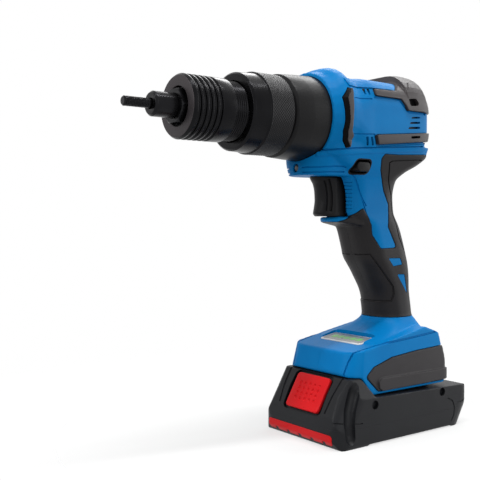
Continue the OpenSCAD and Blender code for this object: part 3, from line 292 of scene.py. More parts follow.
# The shoulder strips, the ledge under the motor and the lines of the moulding
LEDGE = [
    (60.5, 19, 191.9), (51.5, 26.2, 192.6), (40.3, 28.2, 193.7), (19, 28.4, 195.4), (6.8, 29.1, 196.2),
    (-29, 28.2, 198.9),
]
proud = swollen(form, 0.8)
for outline in (
    rounded([(0.3, 237.4), (43.6, 236.3), (45, 241.4), (-4, 242.6)], 0.8),
    [(x, z + 1.0) for x, y, z in LEDGE] + [(x, z - 2.0) for x, y, z in reversed(LEDGE)],
):
    combine(body, combine(copy_of(proud), prism(outline, -FAR, FAR), "INTERSECT"), "UNION")
bpy.data.meshes.remove(proud.data)
# Each line's radius, and the points that it runs by
LINES = [
    (0.90, [(x, y, z + 1.4) for x, y, z in LEDGE]),
    (0.80, [
        (22.4, 31, 230.2), (9.9, 30.4, 230.6), (-2.6, 30.4, 230.4), (-6.8, 31, 226.3), (-11.2, 31, 222.7),
        (-30, 30, 222.9),
    ]),
    (0.80, [(22.0, 31, 205.6), (18.8, 30.4, 197.9), (-4.1, 30.2, 200.1), (-25.5, 30.1, 202.2), (-36, 27, 203.2)]),
    (0.50, [(41, 31.6, 228.4), (24, 30.9, 229.0)]),
    (0.50, [(41, 30.2, 204.6), (22, 31.2, 205.6)]),
    (0.60, [(64, 6, 183.0), (60, 13, 183.3), (54, 17.5, 183.6), (48, 19.3, 183.9), (37, 19.4, 184.2)]),
    (0.60, [(63.5, 6, 179.8), (59.5, 12.5, 180.0), (54, 16.5, 180.2), (48, 17.6, 180.4), (37, 17.7, 180.6)]),
    (0.60, [(30.6, 18.5, 179.4), (26.9, 17.7, 176.0), (18.7, 17.2, 162.1), (15.6, 17.3, 158.0)]),
    (0.60, [(28.2, 18.5, 177.5), (24, 17.6, 172.0), (15, 17.2, 152), (9.5, 17.0, 139)]),
    (0.80, [
        (-40, 31.5, 68.4), (-33.7, 32.2, 68.0), (-12.4, 32.4, 66.3), (14.8, 31.9, 64.6), (29.1, 29.9, 62.5),
        (39.4, 28.8, 60.2), (42.6, 27.5, 55.3), (45.4, 25.7, 46.1), (46.2, 25.4, 43.5),
    ]),
]
for z in (156, 158.6, 161.2, 163.8, 166.4, 169, 171.6, 174.2):
    LINES.append((0.40, [(30.5, 10.6, z), (28.6, 12.4, z), (26.6, 14.6, z)]))
for radius, line in LINES:
    for path in both_sides(line):
        combine(body, tube(laid_on(form, path, 0.3), radius), "DIFFERENCE")

# Air slits with black screens behind them, whose black paints the shade inside the slits, and the ways for the barrel,
# trigger, selector, lamp, panel and battery
SLITS = [
    [(27.9, 235.7), (30.3, 235.5), (29.6, 231.4), (28.2, 231.6)],
    [(24.4, 235.9), (26.5, 235.7), (26.0, 231.5), (24.7, 231.7)],
    [(27.6, 203.6), (29.6, 203.4), (27.4, 197.9), (25.8, 198.1)],
    [(23.6, 203.8), (25.6, 203.6), (23.0, 198.1), (21.4, 198.3)],
    [(-15.2, 220.0), (-14.2, 218.8), (-23.5, 219.6), (-23.5, 220.8)],
    [(-13.8, 216.4), (-12.6, 215.0), (-23.5, 215.9), (-23.5, 217.3)],
    [(-12.4, 212.9), (-11.0, 211.3), (-23.5, 212.3), (-23.5, 213.9)],
]
CAP_SLOT = [(-10.8, 232.1), (-18.5, 233.1), (-21.2, 230.3), (-20.6, 228.1), (-12.3, 227.1)]
BAR_SLOT = [(-12.6, 206.4), (-12.6, 204.7), (-22.0, 205.5), (-22.0, 207.2)]
SCREWS = [
    (46.4, 246.5, 12), (53.96, 183.5, 9), (-12.0, 183.5, 12), (-22.0, 88.0, 9), (33.56, 52.3, 20), (-37.48, 57.2, 20),
]
RECESS_FLOOR, LAMP_Z = 14.5, 183.0
RECESS = [(18.0, 178.9), (34.6, 178.9), (34.6, 189.5), (18.0, 189.5)]
SELECTOR_WAY = rounded([(19.2, 180.6), (31.8, 180.6), (31.8, 187.8), (19.2, 187.8)], 2.9)
fall, rise = Vector((71.0, 0, -12.7)).normalized(), Vector((12.7, 0, 71.0)).normalized()
panel_spot = Vector((16.5, 0, 64.52))


def on_slope(centre, along, up, half, length, corner, low, high):
    side = Vector((0, 1, 0))
    flat = ring(half, -length / 2, length / 2, corner)
    return loft([[centre + side * u + along * v + up * w for u, v in flat] for w in (low, high)])


def widened(outline, by):
    middle = sum((Vector(p) for p in outline), Vector((0, 0))) / len(outline)
    return [(Vector(p) + (Vector(p) - middle).normalized() * by)[:] for p in outline]


# The screens are painted shade: black sheets set behind each slit where the inside would only be in shade
painted_shade_screens = []
wide = [(rounded(widened(CAP_SLOT, 1.2), 1.6), 28.2), (rounded(widened(BAR_SLOT, 1.2), 0.6), 28.0)]
for slit, deep in [(rounded(slit, 0.5), 27.3 if slit[0][1] > 230 else 28.4) for slit in SLITS] + wide:
    for side in (1, -1):
        combine(body, prism(slit, side * 23, side * FAR), "DIFFERENCE")
        painted_shade_screens.append(prism(slit, side * 23, side * deep))
for x, z, deep in SCREWS:
    combine(body, prism(disc(3.1, 48, x, z), -FAR, 2.4 - deep), "DIFFERENCE")
for outline, low, high, axis in (
    ([(17, 150.6), (62, 150.6), (62, 178.0), (17, 178.0)], -10.4, 10.4, "Y"),
    (SELECTOR_WAY, -FAR, FAR, "Y"),
    (rounded(RECESS, 5.2, 9), RECESS_FLOOR, FAR, "Y"),
    (rounded(RECESS, 5.2, 9), -FAR, -RECESS_FLOOR, "Y"),
    (disc(28.6, 128), 50, 90, "X"),
    (disc(22, 128), -36, 60, "X"),
    (disc(2.9, 32, 0.0, LAMP_Z), 57, 90, "X"),
    ([(-20.4, 20), (20.4, 20), (20.4, 40.8), (-20.4, 40.8)], -46.4, 90, "X"),
    ([(-24.4, 34.4), (24.4, 34.4), (24.4, 40.8), (-24.4, 40.8)], -46.4, 90, "X"),
):
    combine(body, prism(outline, low, high, axis), "DIFFERENCE")
combine(body, on_slope(panel_spot, fall, rise, 20.4, 16.6, 2.2, -0.8, 25), "DIFFERENCE")


def shade(code):
    parts = [int(code[i:i + 2], 16) / 255 for i in (1, 3, 5)]
    return tuple(c / 12.92 if c <= 0.04045 else ((c + 0.055) / 1.055) ** 2.4 for c in parts) + (1.0,)


def fill(node, sockets):
    for key, value in sockets.items():
        if isinstance(value, bpy.types.NodeSocket):
            node.id_data.links.new(value, node.inputs[key])
        else:
            node.inputs[key].default_value = value
    return node


def add(tree, kind, sockets=None, **settings):
    node = tree.nodes.new("ShaderNode" + kind)
    for key, value in settings.items():
        setattr(node, key, value)
    return fill(node, sockets or {})


def finish_tree(name):
    mat = bpy.data.materials.new(name)
    mat.use_nodes = True
    return mat, mat.node_tree


def moulded(name, low, high, rough, grain, depth, gloss=0.5):
    # A moulded surface: its colour drifts slowly over 38 mm, and a fine grain breaks up its gloss. The
    # grain of such a mould is about 0.1 mm wide, and it is drawn several times coarser so that it shows.
    mat, tree = finish_tree(name)
    here = add(tree, "TexCoord").outputs["Object"]
    drift = add(tree, "TexNoise", {"Vector": here, "Scale": 1000 / 38.0, "Detail": 3.0, "Roughness": 0.55})
    grit = add(tree, "TexNoise", {"Vector": here, "Scale": 1000 / grain, "Detail": 2.0, "Roughness": 0.6})
    tint = add(tree, "ValToRGB", {"Fac": drift.outputs["Fac"]})
    for stop, at, code in zip(tint.color_ramp.elements, (0.35, 0.68), (low, high)):
        stop.position, stop.color = at, shade(code)
    dull = add(tree, "MapRange", {
        "Value": grit.outputs["Fac"], "From Min": 0.3, "From Max": 0.7, "To Min": rough - 0.06, "To Max": rough + 0.08,
    })
    bump = add(tree, "Bump", {"Height": grit.outputs["Fac"], "Strength": 0.5, "Distance": depth / 1000})
    fill(tree.nodes["Principled BSDF"], {
        "Base Color": tint.outputs["Color"], "Roughness": dull.outputs["Result"], "Normal": bump.outputs["Normal"],
        "Specular IOR Level": gloss,
    })
    return mat


def hand_over(obj, name, rider, finish, nodes, angle=35):
    obj.name = name
    obj.data.name = name
    obj.data.transform(Matrix.Scale(0.001, 4))
    obj.data.materials.clear()
    obj.data.materials.append(finish)
    only(obj)
    bpy.ops.object.shade_smooth_by_angle(angle=math.radians(angle))
    if nodes:
        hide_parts(*nodes)
    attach(obj, rider)
    return obj


# Glass-filled nylon, moulded: a deep, even blue with a broad, dull gloss
blue_nylon = moulded("blue_nylon", "#0075b9", "#007dc2", 0.42, 0.55, 0.05, 0.07)

# Rear cap, side bars, chevrons and base panels: dark grey nylon, moulded apart and clipped into
# shallow beds in the housing. Each is cut from the housing's own form, a little proud of it,
# and its edges are then softened as a mould leaves them.
COVER_ROWS = [
    (-0.004, 0.42, 0.56, 0.50, 0.40), (0.01, 0.55, 0.73, 0.60, 0.53), (0.04, 0.74, 0.91, 0.70, 0.70),
    (0.09, 0.93, 1.04, 0.80, 0.80), (0.14, 1.02, 1.10, 0.90, 0.82), (0.22, 1.03, 1.11, 0.90, 0.80),
    (0.32, 1.02, 1.07, 0.90, 0.72),
]
COVER_SIDE = [
    (21, 231.5), (21, 236.0), (-1.0, 236.7), (-8.0, 242.6), (-10.6, 246.5), (-13.9, 261.5), (-58.8, 261.5),
    (-58.8, 224.1), (-10.7, 224.1), (-3.8, 231.5),
]
BAR_SIDE = [(21, 205.2), (18.3, 199.0), (-58.8, 206.4), (-58.8, 212.1)]
CHEVRON_SIDE = [
    (45.0, 234.6), (51.0, 227.3), (50.0, 219.3), (49.5, 212.9), (50.2, 205.8), (48.3, 200.1), (45.6, 195.2),
    (41.8, 203.0), (44.2, 206.6), (44.4, 213.3), (44.1, 219.8), (44.0, 227.9), (43.1, 231.3),
]
CHEVRON_FRONT = 7
PANEL_SIDE = [(32.1, 44.1), (24.9, 49.8), (6.7, 54.8), (-18.3, 57.0), (-60.5, 58.9), (-60.5, 33.9), (21.6, 33.9)]
RAIL_SIDE = [(22.2, 40.6), (19.6, 42.3), (-60.5, 42.0), (-60.5, 34.6), (18.6, 33.9), (21.8, 35.6)]


def inlay(piece, outline, corner, sunk=1.3):
    combine(piece, prism(rounded(outline, corner), -FAR, FAR), "INTERSECT")
    return combine(piece, swollen(form, -sunk), "DIFFERENCE")


def one_side(piece, left):
    low, high = (PARTING, FAR) if left else (-FAR, -PARTING)
    return combine(copy_of(piece), prism([(-90, -10), (90, -10), (90, 300), (-90, 300)], low, high), "INTERSECT")


def bedded(trim, gap=0.5):
    combine(body, swollen(trim, gap), "DIFFERENCE")


# The same nylon in a warm dark grey, with a slightly livelier gloss, and a black that paints the shade on the chevrons'
# front flanks
grey_nylon = moulded("grey_nylon", "#3d393a", "#454142", 0.36, 0.6, 0.05, 0.2)
painted_shade_flank = moulded("painted_shade_flank", "#060607", "#0a0a0b", 0.5, 0.6, 0.05, 0.05)
cover = swollen(form, 1.3)
combine(cover, along_head(COVER_ROWS), "UNION")
softened(inlay(cover, COVER_SIDE, 1.2), 0.45, 3)
bedded(cover)
for side in (1, -1):
    combine(cover, prism(rounded(CAP_SLOT, 1.6), side * 23, side * FAR), "DIFFERENCE")
for line in both_sides([(-17.5, 24.6, 244.9), (-12.5, 29.0, 239.2)]):
    combine(cover, tube(laid_on(cover, line), 0.55), "DIFFERENCE")
hand_over(cover, "rear_cap", "housing", grey_nylon, ["rear_cover"])

bars = softened(inlay(swollen(form, 1.6), BAR_SIDE, 1.2), 0.4, 3)
bedded(bars)
for side in (1, -1):
    combine(bars, prism(rounded(BAR_SLOT, 0.6), side * 23, side * FAR), "DIFFERENCE")
# The chevron's front flank falls away, so it is built up in steps that the softening then levels
chevrons = combine(swollen(form, 0.2), prism(rounded(CHEVRON_SIDE, 0.4), -FAR, FAR), "INTERSECT")
for back, high in ((0.5, 0.7), (1.0, 1.2), (1.5, 1.7), (2.0, 2.2)):
    outline = [(x - back, z) for x, z in CHEVRON_SIDE[:CHEVRON_FRONT]] + CHEVRON_SIDE[CHEVRON_FRONT:]
    step = combine(swollen(form, high), prism(rounded(outline, 0.4), -FAR, FAR), "INTERSECT")
    combine(chevrons, step, "UNION")
combine(chevrons, swollen(form, -1.3), "DIFFERENCE")
softened(chevrons, 0.3, 9)
bedded(chevrons)
panels = combine(swollen(form, 0.7), prism(rounded(PANEL_SIDE, 2.0), -FAR, FAR), "INTERSECT")
rail = combine(swollen(form, 2.0), prism(rounded(RAIL_SIDE, 2.4), -FAR, FAR), "INTERSECT")
combine(panels, rail, "UNION")
combine(panels, swollen(form, -1.3), "DIFFERENCE")
softened(panels, 0.45, 4)
bedded(panels)
dark_nylon = moulded("dark_grey_nylon", "#2c2a2c", "#333133", 0.42, 0.6, 0.05, 0.15)
for trim, name, node, finish in (
    (bars, "bar", "side_bar", grey_nylon), (chevrons, "chevron_trim", "chevron", grey_nylon),
    (panels, "base_panel", "base_insert", dark_nylon),
):
    for side in ("left", "right"):
        piece = one_side(trim, side == "left")
        hand_over(piece, side + "_" + name, "housing", finish, [side + "_" + node])
        if trim is chevrons:
            # Faces turned forward, with normal x over 0.5, take the black: painted shade on each chevron's front flank
            piece.data.materials.append(painted_shade_flank)
            for face in piece.data.polygons:
                face.material_index = int(face.normal.x > 0.5)
    bpy.data.meshes.remove(trim.data)

# Grip rubber: black soft elastomer moulded over each half of the grip and the web behind the
# head, with blue windows left open in it and a line pressed round the finger panel.
RUBBER_SIDE = [
    (41.2, 79), (41.2, 146.3), (38.1, 146.3), (34.3, 146.9), (27.5, 149.6), (18.0, 156.8), (10.4, 145.1),
    (8.8, 137.8), (1.8, 128.3), (-13.9, 128.6), (-5.3, 143.6), (-6.7, 152.5), (-6.4, 159.5), (-0.9, 168.6),
    (2.8, 177), (7.5, 182.7), (10.5, 190.5), (8.5, 193.2), (-6.7, 193.4), (-30, 194.6), (-65, 194.6), (-65, 79),
]
WINDOWS = [
    [(-5.2, 121.7), (-17.8, 121.5), (-20.4, 116.5), (-10.9, 115.5)], [(-14.8, 110), (-23, 109.7), (-28.2, 93.6)],
]
FINGER_PANEL = [
    (30, 124.3), (8.0, 124.6), (2.5, 117.8), (-12.3, 101.0), (-13.6, 95.6), (-12.3, 90.7), (-6.1, 90.1), (30, 90.1),
]
PRESSED = [
    [
        (11.8, 2.2, 124.3), (11.1, 8.7, 124.5), (8.0, 13.9, 124.6), (2.5, 15.6, 117.8), (-12.3, 16.9, 101.0),
        (-13.6, 16.2, 95.6), (-12.3, 15.0, 90.7), (-6.1, 7.6, 90.1), (-5.0, 0, 90.2),
    ],
    [
        (-25.6, 15.8, 123.8), (-20.5, 17.0, 130), (-16.6, 17.8, 136.1), (-11.7, 16.1, 152.6), (-10.5, 16.5, 160),
        (-9.3, 16.7, 165.8), (-4.5, 19.5, 174.5), (-0.8, 22.8, 182.3), (1.6, 25.5, 187.9), (-1.0, 26.3, 189.3),
        (-6.0, 26.3, 189.8), (-24.2, 26.9, 191.1), (-31, 25.6, 191.4),
    ],
]
rubber = inlay(swollen(form, 0.25), RUBBER_SIDE, 2.0, 1.2)
softened(rubber, 0.55, 3)
for window in WINDOWS:
    combine(rubber, prism(rounded(window, 1.0), -FAR, FAR), "DIFFERENCE")
bedded(rubber, 0.45)
dent = combine(prism(rounded(FINGER_PANEL, 1.5), -FAR, FAR), swollen(form, -0.3), "DIFFERENCE")
combine(rubber, dent, "DIFFERENCE")
for line in PRESSED:
    for path in both_sides(line):
        combine(rubber, tube(laid_on(form, path, 0.2), 0.7), "DIFFERENCE")
# Soft elastomer: a warm black that stays dull and shows only a wide, weak sheen
black_rubber = moulded("black_rubber", "#171517", "#1c1a1b", 0.46, 0.45, 0.06, 0.18)
for side in ("left", "right"):
    piece = one_side(rubber, side == "left")
    hand_over(piece, side + "_rubber", "housing", black_rubber, [side + "_grip_rubber"])
bpy.data.meshes.remove(rubber.data)

# The housing's halves are parted last, when every trim has its bed in them
for side in ("left", "right"):
    half = one_side(body, side == "left")
    hand_over(half, side + "_housing_shell", "housing", blue_nylon, [side + "_housing"])
bpy.data.meshes.remove(body.data)

# Front sleeve: the gear case's steel shell, turned and painted satin black. It stands out of the
# head's bore, tapers a little and ends in a rounded lip.
def turned(profile, steps=160, corner=0.4, fine=None, axis_z=AXIS_Z, closed=True):
    line = rounded(profile, corner, 3) if corner else profile
    if fine:
        low, high, step = fine
        dense = []
        for p, q in zip(line, line[1:] + line[:1]):
            near = low <= min(p[0], q[0]) and max(p[0], q[0]) <= high
            parts = max(1, round(math.dist(p, q) / step)) if near else 1
            for k in range(parts):
                dense.append((p[0] + (q[0] - p[0]) * k / parts, p[1] + (q[1] - p[1]) * k / parts))
        line = dense
    count = len(line)
    mesh = bpy.data.meshes.new("profile")
    edges = [(i, (i + 1) % count) for i in range(count if closed else count - 1)]
    mesh.from_pydata([(x, 0, axis_z + r) for x, r in line], edges, [])
    obj = bpy.data.objects.new("profile", mesh)
    bpy.context.collection.objects.link(obj)
    only(obj)
    bpy.ops.object.mode_set(mode="EDIT")
    bpy.ops.mesh.select_all(action="SELECT")
    bpy.ops.mesh.spin(steps=steps, angle=2 * math.pi, center=(0, 0, axis_z), axis=(1, 0, 0))
    bpy.ops.mesh.select_all(action="SELECT")
    bpy.ops.mesh.remove_doubles(threshold=0.0005)
    bpy.ops.object.mode_set(mode="OBJECT")
    return facing_out(obj)


def metal(name, colour, metallic, rough, scratch, gloss=0.5):
    # Turned and coated steel: a cloud of 16 mm in the gloss, and marks that run round the piece. A turning
    # tool leaves them about 0.1 mm apart, and they are drawn 0.35 mm apart so that they show.
    mat, tree = finish_tree(name)
    here = add(tree, "TexCoord").outputs["Object"]
    turn = add(tree, "Mapping", {"Vector": here, "Scale": (1000 / 0.35, 1000 / 14.0, 1000 / 14.0)})
    marks = add(tree, "TexNoise", {"Vector": turn.outputs["Vector"], "Scale": 1.0, "Detail": 2.0})
    cloud = add(tree, "TexNoise", {"Vector": here, "Scale": 1000 / 16.0, "Detail": 3.0})
    tint = add(tree, "ValToRGB", {"Fac": cloud.outputs["Fac"]})
    dark, light = shade(colour), [min(1.0, c * 1.25 + 0.002) for c in shade(colour)]
    for stop, at, tone in zip(tint.color_ramp.elements, (0.3, 0.75), (dark, light)):
        stop.position, stop.color = at, tone
    dull = add(tree, "MapRange", {
        "Value": cloud.outputs["Fac"], "From Min": 0.3, "From Max": 0.7, "To Min": rough - 0.04, "To Max": rough + 0.06,
    })
    bump = add(tree, "Bump", {"Height": marks.outputs["Fac"], "Strength": 0.35, "Distance": scratch / 1000})
    fill(tree.nodes["Principled BSDF"], {
        "Base Color": tint.outputs["Color"], "Roughness": dull.outputs["Result"], "Normal": bump.outputs["Normal"],
        "Metallic": metallic, "Specular IOR Level": gloss,
    })
    return mat


# Satin paint on steel: near black, with a soft streak of light along the top
satin_black = moulded("satin_black_paint", "#0a0a0c", "#0e0e10", 0.33, 0.5, 0.03, 0.16)
SLEEVE = [(52.5, 20.0), (52.5, 28.3), (58.0, 28.35), (72.0, 27.9), (84.2, 27.0), (86.0, 24.5), (86.0, 20.0)]
sleeve = turned(SLEEVE, corner=0.6)
hand_over(sleeve, "front_sleeve", "housing", satin_black, ["gear_case"])

# Stroke collar: blackened steel ring that is turned by hand. Its rear band is knurled in
# diamonds, and its front is polished and steps down to the threaded neck.
def pressed(obj, low, high, depth):
    for vert in obj.data.vertices:
        y, z = vert.co.y, vert.co.z - AXIS_Z
        r = math.hypot(y, z)
        if low < vert.co.x < high and r > 1.0:
            grown = (r + depth(vert.co.x, math.atan2(y, z), r)) / r
            vert.co.y, vert.co.z = y * grown, AXIS_Z + z * grown
    return obj


def diamonds(x, turn, r):
    # Two sets of 80 slanted grooves, 0.18 mm deep each, pressed into the outer face alone
    if r < 25.9:
        return 0.0
    a, b = 80 * turn + 3.3 * x, 80 * turn - 3.3 * x
    return 0.18 * (abs(math.sin(a / 2)) ** 0.7 + abs(math.sin(b / 2)) ** 0.7 - 2)


# Blackened steel: polished, it mirrors the light in long soft bands, and knurled it breaks it up
gun_black = metal("polished_black_steel", "#131315", 0.75, 0.24, 0.01, 0.2)
knurled_black = metal("knurled_black_steel", "#101012", 0.5, 0.38, 0.02, 0.25)
COLLAR = [
    (86.4, 19.2), (86.4, 24.2), (87.4, 26.2), (105.0, 26.2), (105.8, 25.2), (116.8, 24.6), (118.0, 23.4), (118.0, 19.2),
]
collar = turned(COLLAR, 560, 0.4, (87.4, 105.0, 0.3))
pressed(collar, 87.6, 104.8, diamonds)
hand_over(collar, "stroke_ring", "collar", gun_black, ["stroke_collar"], 50)
collar.data.materials.append(knurled_black)
for face in collar.data.polygons:
    if 0.0875 < face.center.x < 0.1049 and math.hypot(face.center.y, face.center.z - AXIS_Z / 1000) > 0.0255:
        face.material_index = 1

# Nose: blackened steel sleeve with a threaded neck that screws into the collar, five turned
# grooves for the fingers and a flat, matt front face.
def thread(pitch, depth):
    return lambda x, turn, r: depth * (abs(((x / pitch + turn / (2 * math.pi)) % 1.0) * 2 - 1) - 1.0)


outer = [(103.0, 13.2), (103.0, 18.6), (126.8, 18.6), (127.4, 19.7)]
for k in range(5):
    x = 138.4 + 3.8 * k
    outer += [(x - 1.25, 19.7), (x - 0.8, 18.4), (x + 0.8, 18.4), (x + 1.25, 19.7)]
outer += [(156.0, 19.7), (157.6, 18.5), (157.6, 12.0), (154.4, 12.0), (154.4, 8.6), (150.0, 8.6), (150.0, 13.2)]
nose = turned(outer, 144, 0.5, (103.0, 126.9, 0.25))
pressed(nose, 104.0, 126.7, thread(1.5, 0.55))
hand_over(nose, "nose_tube", "nose", gun_black, ["nose_sleeve"], 40)
# Faced off and left matt, the front shows as a plain grey disc; its grey, lighter than the steel's own black, is a
# painted reflection of the surround
nose.data.materials.append(metal("matt_steel_painted_reflection", "#353133", 0.6, 0.5, 0.02, 0.3))
for face in nose.data.polygons:
    if face.center.x > 0.1572:
        face.material_index = 1

# Anvil, lock nut and mandrel: hardened steel, the anvil and the hexagon nut turned and oiled
# black, the mandrel rolled with the thread that takes the rivet nut.
# Oiled black oxide: almost black, with small sharp lights on its edges
black_oxide = metal("black_oxide_steel", "#1b1b1d", 0.85, 0.23, 0.012, 0.3)
nut = prism(disc(11.5, 6), 154.6, 160.6, "X")
NUT_ROUND = [(154.6, 7.7), (154.6, 11.4), (159.4, 11.6), (160.6, 10.3), (160.6, 7.7)]
combine(nut, turned(NUT_ROUND, corner=0.05), "INTERSECT")
apply(nut, "BEVEL", width=0.25, segments=2, limit_method="ANGLE")
hand_over(nut, "lock_nut", "nose", black_oxide, ["anvil_lock_nut"], 30)
anvil = turned([(140, 3.3), (140, 7.5), (174.6, 7.5), (176.0, 6.4), (176.0, 3.3)], corner=0.35)
hand_over(anvil, "anvil_tip", "nose", black_oxide, ["anvil"])
rod = [(121.0, 0.0), (121.0, 3.0), (177.0, 3.0), (193.2, 3.0), (194.0, 2.3), (194.0, 0.0)]
mandrel = turned(rod, 56, 0.0, (176.9, 193.3, 0.16), closed=False)
pressed(mandrel, 177.4, 193.0, thread(1.0, 0.45))
hand_over(mandrel, "threaded_mandrel", "spindle", black_oxide, ["mandrel"], 30)

# Trigger and selector: glass-filled black nylon. The trigger is a curved finger plate that slides
# back into the grip, and the selector a cross bar that is pushed from side to side.
TRIGGER_FRONT = [
    (150.9, 43.9), (152.8, 45.9), (156.8, 45.0), (161.7, 44.1), (167.5, 44.5), (172.8, 46.2), (176.3, 49.2),
    (177.7, 49.9),
]
TRIGGER_BACK, TRIGGER_FLANK, TRIGGER_HALF, TRIGGER_STEM = 26.4, 36.0, 9.7, 1.8
rings = []
for z, front in between(TRIGGER_FRONT, 4):
    near = min(z - TRIGGER_FRONT[0][0], TRIGGER_FRONT[-1][0] - z)
    half = TRIGGER_HALF - max(0.0, 0.5 - near)
    face = []
    for turn in (t * math.pi / 40 for t in range(-20, 21)):
        face.append((TRIGGER_FLANK + (front - TRIGGER_FLANK) * math.cos(turn), half * math.sin(turn), z))
    stem = half - TRIGGER_STEM
    face += [(TRIGGER_FLANK, stem, z), (TRIGGER_BACK, stem, z), (TRIGGER_BACK, -stem, z), (TRIGGER_FLANK, -stem, z)]
    rings.append(face)
trigger = loft(rings)
for path in both_sides([(42.2, 8.3, 154.4), (41.6, 8.4, 160), (41.6, 8.4, 166), (42.8, 8.4, 172), (44.2, 8.3, 175.4)]):
    combine(trigger, tube(laid_on(trigger, path), 2.3), "DIFFERENCE")
spring_room = prism(disc(5.7, 48, 0.0, 164.3), 20, 32.6, "X")
combine(trigger, spring_room, "DIFFERENCE")
# Black nylon, moulded: dark and plain, with dull lights on its rounded edges
black_nylon = moulded("black_nylon", "#0e0e10", "#131315", 0.42, 0.6, 0.05, 0.12)
hand_over(trigger, "finger_trigger", "trigger", black_nylon, ["trigger"], 40)
selector = prism(rounded([(19.5, 180.9), (31.5, 180.9), (31.5, 187.5), (19.5, 187.5)], 3.0, 8), -19, 25)
apply(selector, "BEVEL", width=0.8, segments=3, limit_method="ANGLE", angle_limit=math.radians(60))
hand_over(selector, "push_selector", "selector", black_nylon, ["direction_selector"])

# Selector cups and vent screens: thin liners of the same black nylon whose black paints the shade inside the
# selector's recesses and the air slits. A cup is pressed into the recess round each end of the selector, and a screen
# stands behind each air slit.
CUP_INNER = [(18.8, 179.7), (33.8, 179.7), (33.8, 188.7), (18.8, 188.7)]
# Each cup's black is painted shade: it darkens the recess round each end of the selector
for side, sign in (("left", 1), ("right", -1)):
    painted_shade_cup = prism(rounded(RECESS, 5.2, 9), sign * RECESS_FLOOR, sign * 40)
    combine(painted_shade_cup, prism(rounded(CUP_INNER, 4.4, 9), sign * (RECESS_FLOOR + 1), sign * FAR), "DIFFERENCE")
    combine(painted_shade_cup, copy_of(form), "INTERSECT")
    combine(painted_shade_cup, prism(SELECTOR_WAY, sign * 10, sign * FAR), "DIFFERENCE")
    hand_over(painted_shade_cup, side + "_selector_painted_shade_cup", "housing", black_nylon, [])
# The joined screens carry the painted shade of all the slits
only(painted_shade_screens[0])
for painted_shade_screen in painted_shade_screens:
    painted_shade_screen.select_set(True)
bpy.ops.object.join()
hand_over(painted_shade_screens[0], "vent_painted_shade_screens", "housing", black_nylon, [])

# Work light and indicator panel: a small clear lens pressed in under the barrel, and a printed
# film with light windows, glued into a bed on the slope of the base.
def glossy(name, code, rough):
    # A smooth printed film or polished lens: clean reflections, with faint waves of 6 mm in its gloss
    mat, tree = finish_tree(name)
    here = add(tree, "TexCoord").outputs["Object"]
    wave = add(tree, "TexNoise", {"Vector": here, "Scale": 1000 / 6.0, "Detail": 2.0})
    dull = add(tree, "MapRange", {
        "Value": wave.outputs["Fac"], "From Min": 0.3, "From Max": 0.7, "To Min": max(0.02, rough - 0.04),
        "To Max": rough + 0.04,
    })
    fill(tree.nodes["Principled BSDF"], {"Base Color": shade(code), "Roughness": dull.outputs["Result"]})
    return mat


LENS = [(59.5, 0.0), (59.5, 2.55), (63.3, 2.55), (64.0, 2.0), (64.3, 1.1), (64.4, 0.0)]
lens = turned(LENS, 48, 0.0, axis_z=LAMP_Z, closed=False)
hand_over(lens, "lamp_lens", "housing", glossy("smoked_lens", "#3a3c40", 0.08), ["work_light"])
rim = on_slope(panel_spot, fall, rise, 20, 16, 2.0, -0.8, 0.5)
apply(rim, "BEVEL", width=0.3, segments=2, limit_method="ANGLE")
hand_over(rim, "panel_rim", "housing", glossy("white_film", "#d9dadb", 0.3), ["control_panel"])
field = on_slope(panel_spot, fall, rise, 18.6, 13.2, 1.5, 0.2, 0.6)
hand_over(field, "panel_field", "housing", glossy("grey_film", "#7d8083", 0.3), [])
green_film = glossy("green_film", "#4fae3c", 0.3)
for k, y in enumerate((-12.0, -6.0, 0.0, 6.0, 12.0)):
    mark = on_slope(panel_spot + Vector((0, y, 0)), fall, rise, 2.2, 5.0, 0.8, 0.3, 0.7)
    hand_over(mark, "panel_window_%d" % (k + 1), "housing", green_film, [])

# Battery: two black nylon cases around the cells, screwed together from below. The upper one
# carries the rails that slide into the base and the slope with the release button's bed.
PACK_SIDE = [
    (58.1, 0), (61.35, 5), (62, 9.9), (60.05, 19.84), (53.55, 32.6), (45.75, 43.71), (36, 43.71), (27.55, 31),
    (-64.75, 29.1), (-67.6, 24.8), (-68, 12.4), (-67, 3.7), (-64.75, 0),
]
PACK_END = [
    (-38, -9), (38, -9), (38.2, 0), (39, 2), (39, 31), (32.8, 43.8), (-32.8, 43.8), (-39, 31), (-39, 2), (-38.2, 0),
]
pack = prism(rounded(PACK_SIDE, 2.0), -39, 39)
combine(pack, prism(rounded([(-68, -39), (99, -39), (99, 39), (-68, 39)], 7.0), -9, 90, "Z"), "INTERSECT")
combine(pack, prism(rounded([(-99, -39), (62, -39), (62, 39), (-99, 39)], 12.0, 9), -9, 90, "Z"), "INTERSECT")
combine(pack, leaning((61.6, 20.8), (47.3, 44.7), 39, 15), "INTERSECT")
combine(pack, prism(PACK_END, -90, 90, "X"), "INTERSECT")
softened(pack, 0.7, 3)
plain = copy_of(pack)
neck = [(-20, 29), (20, 29), (20, 34.8), (24, 34.8), (24, 40.4), (-24, 40.4), (-24, 34.8), (-20, 34.8)]
combine(pack, prism(neck, -46, 37, "X"), "UNION")
for y in (-10, 10):
    combine(pack, prism([(y - 1.4, 33), (y + 1.4, 33), (y + 1.4, 50), (y - 1.4, 50)], -47, -12, "X"), "DIFFERENCE")
lean, face = Vector((-0.514, 0, 0.858)), Vector((0.858, 0, 0.514))
seat = Vector((53.2, 0, 31.3)) + face * 0.8
combine(pack, on_slope(seat, lean, face, 19.0, 28.6, 4.0, -3.2, 30), "DIFFERENCE")
